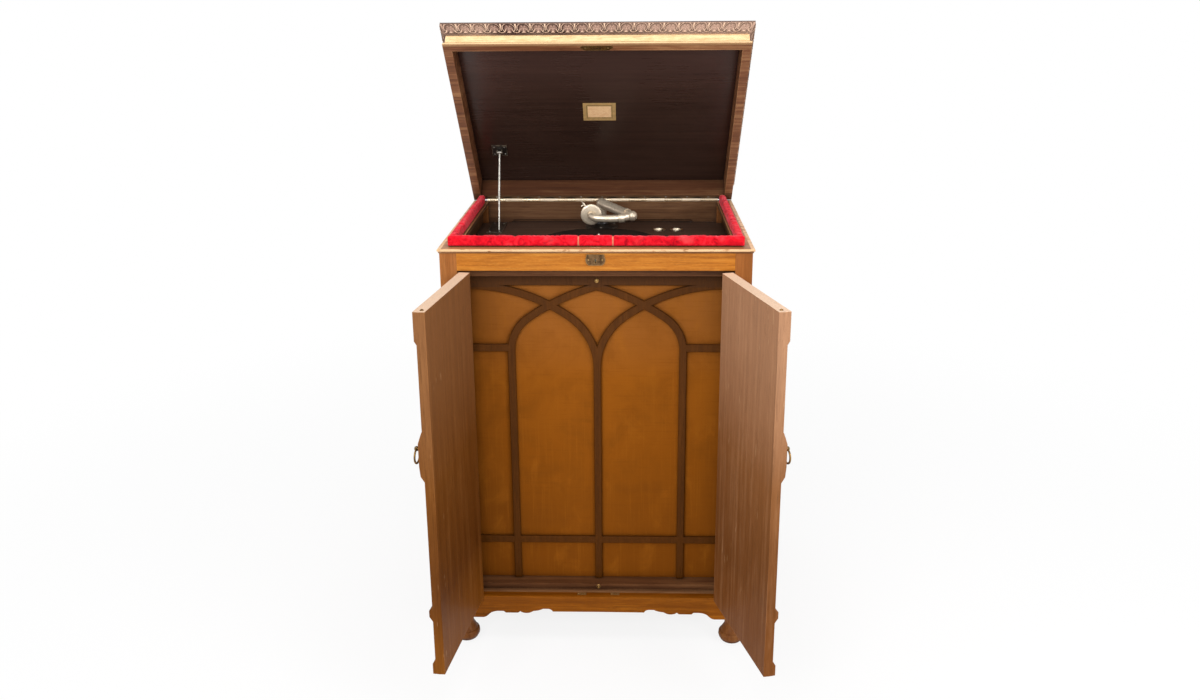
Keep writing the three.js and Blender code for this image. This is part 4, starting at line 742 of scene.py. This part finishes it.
# ---------------------------------------------------------------- carved frieze

frieze_line = [(1.6, 34.4), (2.6, 36.0), (3.2, 38.4), (6.7, 46.1), (11.0, 53.4), (12.8, 56.0),
               (13.7, 57.6)]
motif = 33.1
band_height = 27.0
carving_depth = 3.4


def along_frieze(share):
    """A point of the frieze's section and the way out of it, for a share of its height."""
    steps = [0.0]
    for (a, b), (c, d) in zip(frieze_line, frieze_line[1:]):
        steps.append(steps[-1] + math.hypot(c - a, d - b))
    reach = share * steps[-1]
    for i, (low, high) in enumerate(zip(steps, steps[1:])):
        if reach <= high or i == len(steps) - 2:
            part = (reach - low) / (high - low)
            (a, b), (c, d) = frieze_line[i], frieze_line[i + 1]
            run = math.hypot(c - a, d - b)
            out = Vector(((d - b) / run, -(c - a) / run))
            return Vector((a + (c - a) * part, b + (d - b) * part)), out
    return None


def swell(distance, half):
    """A rounded ridge or boss, 1 at its middle and 0 from half its width on."""
    return math.sqrt(max(0.0, 1 - (distance / half) ** 2))


def carving(along, share):
    """The height of the carved pattern: ringed leaves and darts over hooped stems."""
    leaf_up, leaf_half, leaf_tall = 15.2, 11.6, 9.6
    eye_up, boss_up, boss_half = 21.3, 13.4, 2.6
    ring_foot, dart_foot, dart_flare = 6, 8, 14
    hoop_up, hoop_radius = 12.5, 8.6
    wedge_foot, wedge_tip = 3.2, 8.6
    up = share * band_height
    x = ((along / motif) % 1.0 - 0.5) * motif
    aside = motif / 2 - abs(x)
    over = up - leaf_up
    away = math.hypot(x / leaf_half, over / leaf_tall)
    turn = math.atan2(over, abs(x))
    leaf = 0.7 * swell(away, 1.0) * (0.55 + 0.45 * abs(math.cos(2.5 * turn + 0.6)))
    eye = math.hypot(x, up - eye_up) / 1.9
    relief = leaf * min(1.0, eye ** 3)
    relief = max(relief, 0.8 * swell(math.hypot(x, up - boss_up), boss_half))
    if up > ring_foot:
        relief = max(relief, 0.85 * swell(abs(away - 1.2) * 11, 1.3))
    if up > dart_foot:
        relief = max(relief, swell(aside, 0.9 + 0.2 * max(0.0, up - dart_flare)))
    if up < hoop_up:
        hoop = abs(math.hypot(aside, up - hoop_up) - hoop_radius)
        relief = max(relief, 0.95 * swell(hoop, 1.25))
    if wedge_foot < up < wedge_tip:
        wedge = max(0.0, abs(x) - 0.9 * (wedge_tip - up))
        relief = max(relief, 0.8 * swell(wedge, 1.6))
    fillet = 0.9 * swell(up - 0.8, 0.9)
    bead = 0.95 * swell(up - band_height + 1.0, 1.0)
    return max(relief, fillet, bead)


def frieze_carving():
    solid = Solid()
    rows = 54
    reach = 350.0
    depth = 577.0
    over_board = 0.12
    corner_fade = 5
    edge_fade = 14.0
    runs = [
        (-reach, reach, 1400, lambda s, out: (s, -depth - out)),
        (0.0, depth, 700, lambda s, out: (-reach - out, -s)),
        (0.0, depth, 700, lambda s, out: (reach + out, -s)),
    ]
    heights = []
    for number, (start, end, count, spot) in enumerate(runs):
        points = []
        for i in range(count + 1):
            along = start + (end - start) * i / count
            corner = min(end - along, along - start if number == 0 else end)
            for j in range(rows + 1):
                share = j / rows
                (out, up), (n_out, n_up) = along_frieze(share)
                relief = carving(along + (0 if number else motif / 2), share)
                relief = 0.5 + (relief - 0.5) * min(1.0, corner / corner_fade)
                relief *= min(1.0, edge_fade * share, edge_fade * (1 - share))
                heights.append(relief)
                rise = over_board + relief * carving_depth
                out, up = out + n_out * rise, up + n_up * rise
                first = start - out if number == 0 else start
                run = first + (end + out - first) * i / count
                x, y = spot(run, out)
                points.append(mm(x, y, up))
        faces = []
        for i in range(count):
            for j in range(rows):
                a = i * (rows + 1) + j
                b = a + rows + 1
                faces.append([a, b, b + 1, a + 1] if number != 2 else [a, a + 1, b + 1, b])
        solid.add(points, faces, in_lid)
    made = solid.piece("frieze_carving", "carving", "lid", "carved_oak")
    made.data.attributes.new("relief", "FLOAT", "POINT").data.foreach_set("value", heights)


frieze_carving()

# ---------------------------------------------------------------- grille cloth


def grille_cloth():
    """The cloth behind the tracery, drawn tight with the faintest slack between its nails."""
    low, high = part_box("grille_cloth")
    wide, tall = 132, 160
    rng = random.Random(7)
    spreads = ((3, 14), (2, 9), (0, 6.28), (0.2, 1))
    waves = [[rng.uniform(*spread) for spread in spreads] for _ in range(9)]
    points = []
    for back in (0, 1):
        for j in range(tall + 1):
            for i in range(wide + 1):
                u, v = i / wide, j / tall
                slack = sum(a * math.sin(6.28 * (p * u + q * v * 0.7) + phase) for p, q, phase,
                            a in waves) / 9
                edge = min(1, 12 * min(u, 1 - u), 12 * min(v, 1 - v))
                y = low.y + 0.00035 + 0.00022 * slack * edge + back * 0.0006
                points.append((low.x + (high.x - low.x) * u, y, low.z + (high.z - low.z) * v))
    row = wide + 1
    faces = []
    whole = row * (tall + 1)
    for j in range(tall):
        for i in range(wide):
            a = j * row + i
            faces.append([a, a + 1, a + row + 1, a + row])
            faces.append([whole + a + row, whole + a + row + 1, whole + a + 1, whole + a])
    rim = [j * row for j in range(tall, 0,
                                  -1)] + list(range(wide)) + [wide + j * row for j in range(tall)]
    rim += [tall * row + i for i in range(wide, 0, -1)]
    for a, b in zip(rim, rim[1:] + rim[:1]):
        faces.append([b, a, whole + a, whole + b])
    cloth = Solid().add(points, faces).piece("grille_cloth_sheet", "cloth", "cabinet",
                                             "speaker_cloth")
    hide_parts("grille_cloth")


grille_cloth()

# ---------------------------------------------------------------- velvet strips


def velvet_strip(place, seams=()):
    """A velvet-covered strip: stuffed, gathered at its seams and crumpled a little by the sim."""
    node = "velvet_strip_" + place
    low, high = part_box(node)
    lengthwise = 1 if high.y - low.y > high.x - low.x else 0
    length = high[lengthwise] - low[lengthwise]
    width = high[1 - lengthwise] - low[1 - lengthwise]
    tall = high.z - low.z
    station_gap, end_round, pinch_width = 0.0035, 0.005, 0.004
    stations = max(12, int(length / station_gap))
    around = 28
    rng = random.Random(place)
    spreads = ((12, 60), (0, 6.28), (0, 6.28), (0.3, 1))
    bulges = [[rng.uniform(*spread) for spread in spreads] for _ in range(10)]
    points = []
    pinned = []
    for i in range(stations + 1):
        run = i / stations * length
        end = min(run, length - run)
        close = math.sqrt(max(0.0, 1 - max(0.0, 1 - end / end_round) ** 2))
        for k in range(around):
            angle = 2 * math.pi * (k + 0.5) / around
            c, s = math.cos(angle), math.sin(angle)
            ripple = sum(a * math.sin(f * run / 0.1 + p + 2 * math.sin(angle + q))
                         for f, p, q, a in bulges) / 10
            lateral = math.copysign(abs(c) ** 0.55, c)
            lateral *= (0.93 + 0.02 * ripple) * (0.86 + 0.14 * close)
            rise = math.copysign(abs(s) ** (0.6 if s > 0 else 0.25), s)
            rise = (1 + rise * (0.965 + 0.02 * ripple) * (0.82 + 0.18 * close if s > 0 else 1)) / 2
            gathers = sum(math.exp(-((run - seam) / pinch_width) ** 2) for seam in seams)
            pinch = 1 - 0.07 * gathers * max(0.0, s)
            foot = 0.9 + 0.1 * min(1.0, rise * 3)
            across = lateral * width / 2 * foot * pinch
            up = max(0.0003, rise * tall * pinch)
            if lengthwise:
                point = ((low.x + high.x) / 2 + across, low.y + run, low.z + up)
            else:
                point = (low.x + run, (low.y + high.y) / 2 - across, low.z + up)
            if s < -0.3:
                pinned.append(len(points))
            points.append(point)
    faces = []
    for i in range(stations):
        for k in range(around):
            a, b = i * around + k, i * around + (k + 1) % around
            faces.append([a, b, b + around, a + around] if not lengthwise else [b, a, a + around,
                                                                                b + around])
    ends = [list(range(around)), [stations * around + k for k in range(around)]]
    faces.append(ends[0][::-1] if not lengthwise else ends[0])
    faces.append(ends[1] if not lengthwise else ends[1][::-1])
    mesh = bpy.data.meshes.new(node)
    mesh.from_pydata(points, [], faces)
    mesh.validate()
    mesh.materials.append(paints["velvet"])
    strip = stand(node + "_cover", mesh)
    rumple(strip, points, pinned, low, high)
    smooth(strip)
    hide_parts(node)
    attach(strip, "cabinet")


def rumple(strip, rest, pinned, low, high):
    """Blows the cover up a little over its nailed foot, within the strip's room."""
    foot = strip.vertex_groups.new(name="foot")
    foot.add(pinned, 1.0, "REPLACE")
    cover = strip.modifiers.new("cover", "CLOTH")
    settings = cover.settings
    settings.quality = 4
    settings.mass = 0.15
    settings.use_pressure = True
    settings.uniform_pressure_force = 2.0
    settings.shrink_min = -0.035
    settings.vertex_group_mass = "foot"
    settings.effector_weights.gravity = 0.0
    scene = bpy.context.scene
    last, most, room = 14, 0.0013, 0.00045
    scene.frame_start, scene.frame_end = 1, last
    for number in range(1, last + 1):
        scene.frame_set(number)
    blown = strip.evaluated_get(bpy.context.evaluated_depsgraph_get()).to_mesh()
    spots = np.array([vertex.co for vertex in blown.vertices])
    strip.modifiers.remove(cover)
    scene.frame_set(1)
    start = np.array(rest)
    move = spots - start
    size = np.linalg.norm(move, axis=1, keepdims=True)
    move *= np.minimum(1.0, most / np.maximum(size, 1e-9))
    floor_of = np.array(low) + (-room, -room, 0.0001)
    roof_of = np.array(high) + (room, room, 0.001)
    kept = np.clip(start + move, floor_of, roof_of)
    strip.data.vertices.foreach_set("co", kept.astype(np.float32).ravel())
    strip.data.update()
    strip.vertex_groups.clear()


velvet_strip("left", (0.12, 0.31))
velvet_strip("right", (0.17, 0.36))
velvet_strip("front_left", (0.15,))
velvet_strip("front_centre")
velvet_strip("front_right", (0.12,))

# ---------------------------------------------------------------- small metal and screws


def corner_screws(solid, matrix, spots, axis, radius=0.0032):
    rng = random.Random(len(spots) * 31 + int(spots[0][0]))
    for x, y, z in spots:
        solid.screw(facing(matrix, x, y, z, axis), radius, rng.uniform(0, 3.1))


catch_cup = [(0.0, 0.0001), (0.0022, 0.0001), (0.0026, 0.0013),
             (0.0044, 0.0017), (0.0054, 0.0009), (0.0054, -0.0002)]


def case_fittings():
    brass = Solid()
    corner_screws(brass, in_case, [(-15.5, -1.72, 981), (15.5, -1.72, 981)], "-Y", 0.0014)
    for z, y in ((916, 61.6), (132.5, 36.0)):
        brass.turned(catch_cup, 24, facing(in_case, 0, y, z, "-Y"))
    for x in (-41, 41):
        brass.slab(mm(-11, -4.5, 0.02), mm(11, 4.5, 0.9), facing(in_case, x, 14, 125, "+Z"))
        for dx in (-7.5, 7.5):
            brass.screw(facing(in_case, x + dx, 14, 125.9, "+Z"), 0.0018, 0.4 + dx)
    brass.piece("case_brass_fittings", "brass", "cabinet", "brass")

    steel = Solid()
    flange = [(38 * math.cos(angle), 492 + 38 * math.sin(angle),
               955.1) for angle in (0.5, 2.6, 4.7)]
    corner_screws(steel, in_case, flange, "+Z", 0.0034)
    guide = [(x, y, 952.3) for y in (422, 524) for x in (-293, -267)]
    corner_screws(steel, in_case, guide, "+Z", 0.0028)
    leaf = [(x, 565.5, 1004.8) for x in range(-290, 300, 58)]
    corner_screws(steel, in_case, leaf, "+Z", 0.0024)
    steel.piece("case_screws", "steel", "cabinet", "steel")

    back = Solid()
    for x in (-296, -150, 0, 150, 296):
        for z in (84, 480, 930):
            back.screw(facing(in_case, x, 573.1, z, "+Y"), 0.0036, x * 0.3 + z)
    back.piece("back_board_screws", "brass", "cabinet", "brass")

    ring = Solid()
    edge = [(0.0066, 0.0), (0.0066, 0.0022), (0.009, 0.0028),
            (0.0125, 0.0022), (0.0145, 0.0008), (0.0145, 0.0)]
    count = 40
    points = []
    for radius, height in edge:
        for k in range(count):
            angle = 2 * math.pi * k / count
            points.append((radius * math.cos(angle), radius * math.sin(angle), height))
    faces = []
    for i in range(len(edge)):
        here, there = i * count, (i + 1) % len(edge) * count
        for k in range(count):
            far = (k + 1) % count
            faces.append([here + k, here + far, there + far, there + k])
    ring.add(points, [face[::-1] for face in faces], facing(in_case, 341.1, 200, 880, "+X"))
    ring.piece("winding_hole_ring", "brass", "cabinet", "brass")


case_fittings()


def lid_fittings():
    steel = Solid()
    bracket = [(x, y, 52.4) for y in (-132, -160) for x in (-286, -258)]
    corner_screws(steel, in_lid, bracket, "-Z", 0.0028)
    leaf = [(x, -11.5, 0.55) for x in range(-290, 300, 58)]
    corner_screws(steel, in_lid, leaf, "-Z", 0.0024)
    steel.piece("lid_screws", "steel", "lid", "steel")
    brass = Solid()
    corner_screws(brass, in_lid, [(-26, -568.5, 0.5), (26, -568.5, 0.5)], "-Z", 0.0018)
    brass.piece("keeper_screws", "brass", "lid", "brass")


lid_fittings()

# ---------------------------------------------------------------- lid transfer


def transfer_paint():
    """A plain toned field under lacquer gone yellow, for the middle of the gilt band."""
    paint = Paint("plain transfer", Roughness=0.3)
    point = paint.place(in_lid)
    mottle = paint.noise(point, 120, 4, 0.6, 0.8)
    fleck = paint.noise(point, 900, 2, 0.7)
    colour = paint.ramp(mottle, (0.35, shade(236, 186, 136)), (0.6, shade(248, 206, 156)),
                        (0.8, shade(252, 218, 172)))
    colour = paint.mix(paint.step(fleck, 0.64, 0.74) * 0.3, colour, shade(150, 108, 70))
    return paint.gives(Base_Color=colour)


paints["transfer"] = transfer_paint()
paints["gilt"] = brass_paint("gilt line", (168, 116, 64), (112, 72, 38), 0.6, 0.2)


def lid_transfer():
    face = 54.68
    middle_x, middle_y = -1.5, -295.0
    gilt = Solid()
    outer = [(41.5, 32.5), (32.5, 23.5)]
    inner = [(31.5, 22.5), (29.5, 20.0)]
    for (a, b), (c, d) in (outer, inner):
        ring = [(-a, -b), (a, -b), (a, b), (-a, b), (-c, -d), (c, -d), (c, d), (-c, d)]
        points = [mm(middle_x + x, middle_y + y, face - 0.12) for x, y in ring]
        faces = [[k, (k + 1) % 4, 4 + (k + 1) % 4, 4 + k][::-1] for k in range(4)]
        gilt.add(points, faces, in_lid)
    gilt.piece("transfer_gilt_lines", "gilt", "lid", "brass")
    field = Solid()
    corners = [(-29.5, -20), (29.5, -20), (29.5, 20), (-29.5, 20)]
    field.add([mm(middle_x + x, middle_y + y, face - 0.08) for x, y in corners], [[3, 2, 1, 0]],
              in_lid)
    field.piece("transfer_field", "transfer", "lid", "lid_wood")


lid_transfer()

# ---------------------------------------------------------------- floor, light and camera


def floor_paint():
    paint = Paint("pale floor", Roughness=0.9)
    paint.gives(Base_Color=shade(246, 246, 246))
    rays = paint.node("ShaderNodeLightPath")
    camera, glossy, through = (Wire(paint, rays.outputs[name]) for name in
                               ("Is Camera Ray", "Is Glossy Ray", "Is Transmission Ray"))
    glow = paint.wire("ShaderNodeEmission", None, {"Color": (1, 1, 1, 1), "Strength": 1.0})
    away = paint.wire("ShaderNodeVectorMath", {"operation": "LENGTH"}, {0: paint.place()}, 1)
    seen = (camera + glossy + through) * paint.step(away, 0.9, 2.8, 0.84, 1.0)
    both = paint.wire("ShaderNodeMixShader", None, {0: seen,
                                                    1: Wire(paint, paint.shader.outputs[0]),
                                                    2: glow})
    out = next(node for node in paint.tree.nodes if node.bl_idname == "ShaderNodeOutputMaterial")
    paint.feed(out.inputs["Surface"], both)
    return paint.material


def floor():
    half = 40.0
    mesh = bpy.data.meshes.new("floor")
    corners = [(-half, -half, 0), (half, -half, 0), (half, half, 0), (-half, half, 0)]
    mesh.from_pydata(corners, [], [[0, 1, 2, 3]])
    mesh.materials.append(floor_paint())
    made = stand("floor", mesh)


floor()


def world():
    sky = bpy.data.worlds.new("soft daylight")
    sky.use_nodes = True
    tree = sky.node_tree
    tree.nodes.clear()
    rays = tree.nodes.new("ShaderNodeLightPath")
    seen = tree.nodes.new("ShaderNodeMath")
    seen.operation = "ADD"
    seen.use_clamp = True
    tree.links.new(rays.outputs["Is Camera Ray"], seen.inputs[0])
    tree.links.new(rays.outputs["Is Glossy Ray"], seen.inputs[1])
    strength = tree.nodes.new("ShaderNodeMapRange")
    strength.inputs["To Min"].default_value = 0.62
    strength.inputs["To Max"].default_value = 1.0
    tree.links.new(seen.outputs[0], strength.inputs["Value"])
    background = tree.nodes.new("ShaderNodeBackground")
    background.inputs["Color"].default_value = (1, 1, 1, 1)
    tree.links.new(strength.outputs[0], background.inputs["Strength"])
    out = tree.nodes.new("ShaderNodeOutputWorld")
    tree.links.new(background.outputs[0], out.inputs["Surface"])
    bpy.context.scene.world = sky


world()


def lamp(name, place, aim, size, power):
    light = bpy.data.lights.new(name, "AREA")
    light.shape = "RECTANGLE"
    light.size, light.size_y = size
    light.energy = power
    made = stand(name, light)
    made.location = place
    made.rotation_euler = (Vector(aim) - Vector(place)).to_track_quat("-Z", "Y").to_euler()


lamp("front softbox", (-1.2, -3.6, 2.6), (0, 0, 0.8), (2.4, 1.8), 85)
lamp("right softbox", (2.6, -2.4, 1.9), (0, 0, 0.8), (1.6, 1.6), 38)
lamp("top softbox", (0.2, -0.8, 3.6), (0, 0, 1.0), (1.8, 1.2), 30)


def camera():
    """The pinhole camera that was fitted to the photograph's corners."""
    picture_width, middle_row = 1200, 350
    focal_length, centre_row = 1041.956, 303.287
    stands_at = mm(80.7, -2256.128, 1546.421)
    turned_by = (73.54659, 0.39801, 1.68746)
    data = bpy.data.cameras.new("camera")
    data.sensor_width = 36
    data.lens = focal_length / picture_width * data.sensor_width
    data.shift_y = -(middle_row - centre_row) / picture_width
    made = stand("camera", data)
    made.location = in_case @ stands_at
    made.rotation_euler = Euler([math.radians(angle) for angle in turned_by])
    bpy.context.scene.camera = made


camera()
bpy.context.scene.view_settings.view_transform = "Standard"
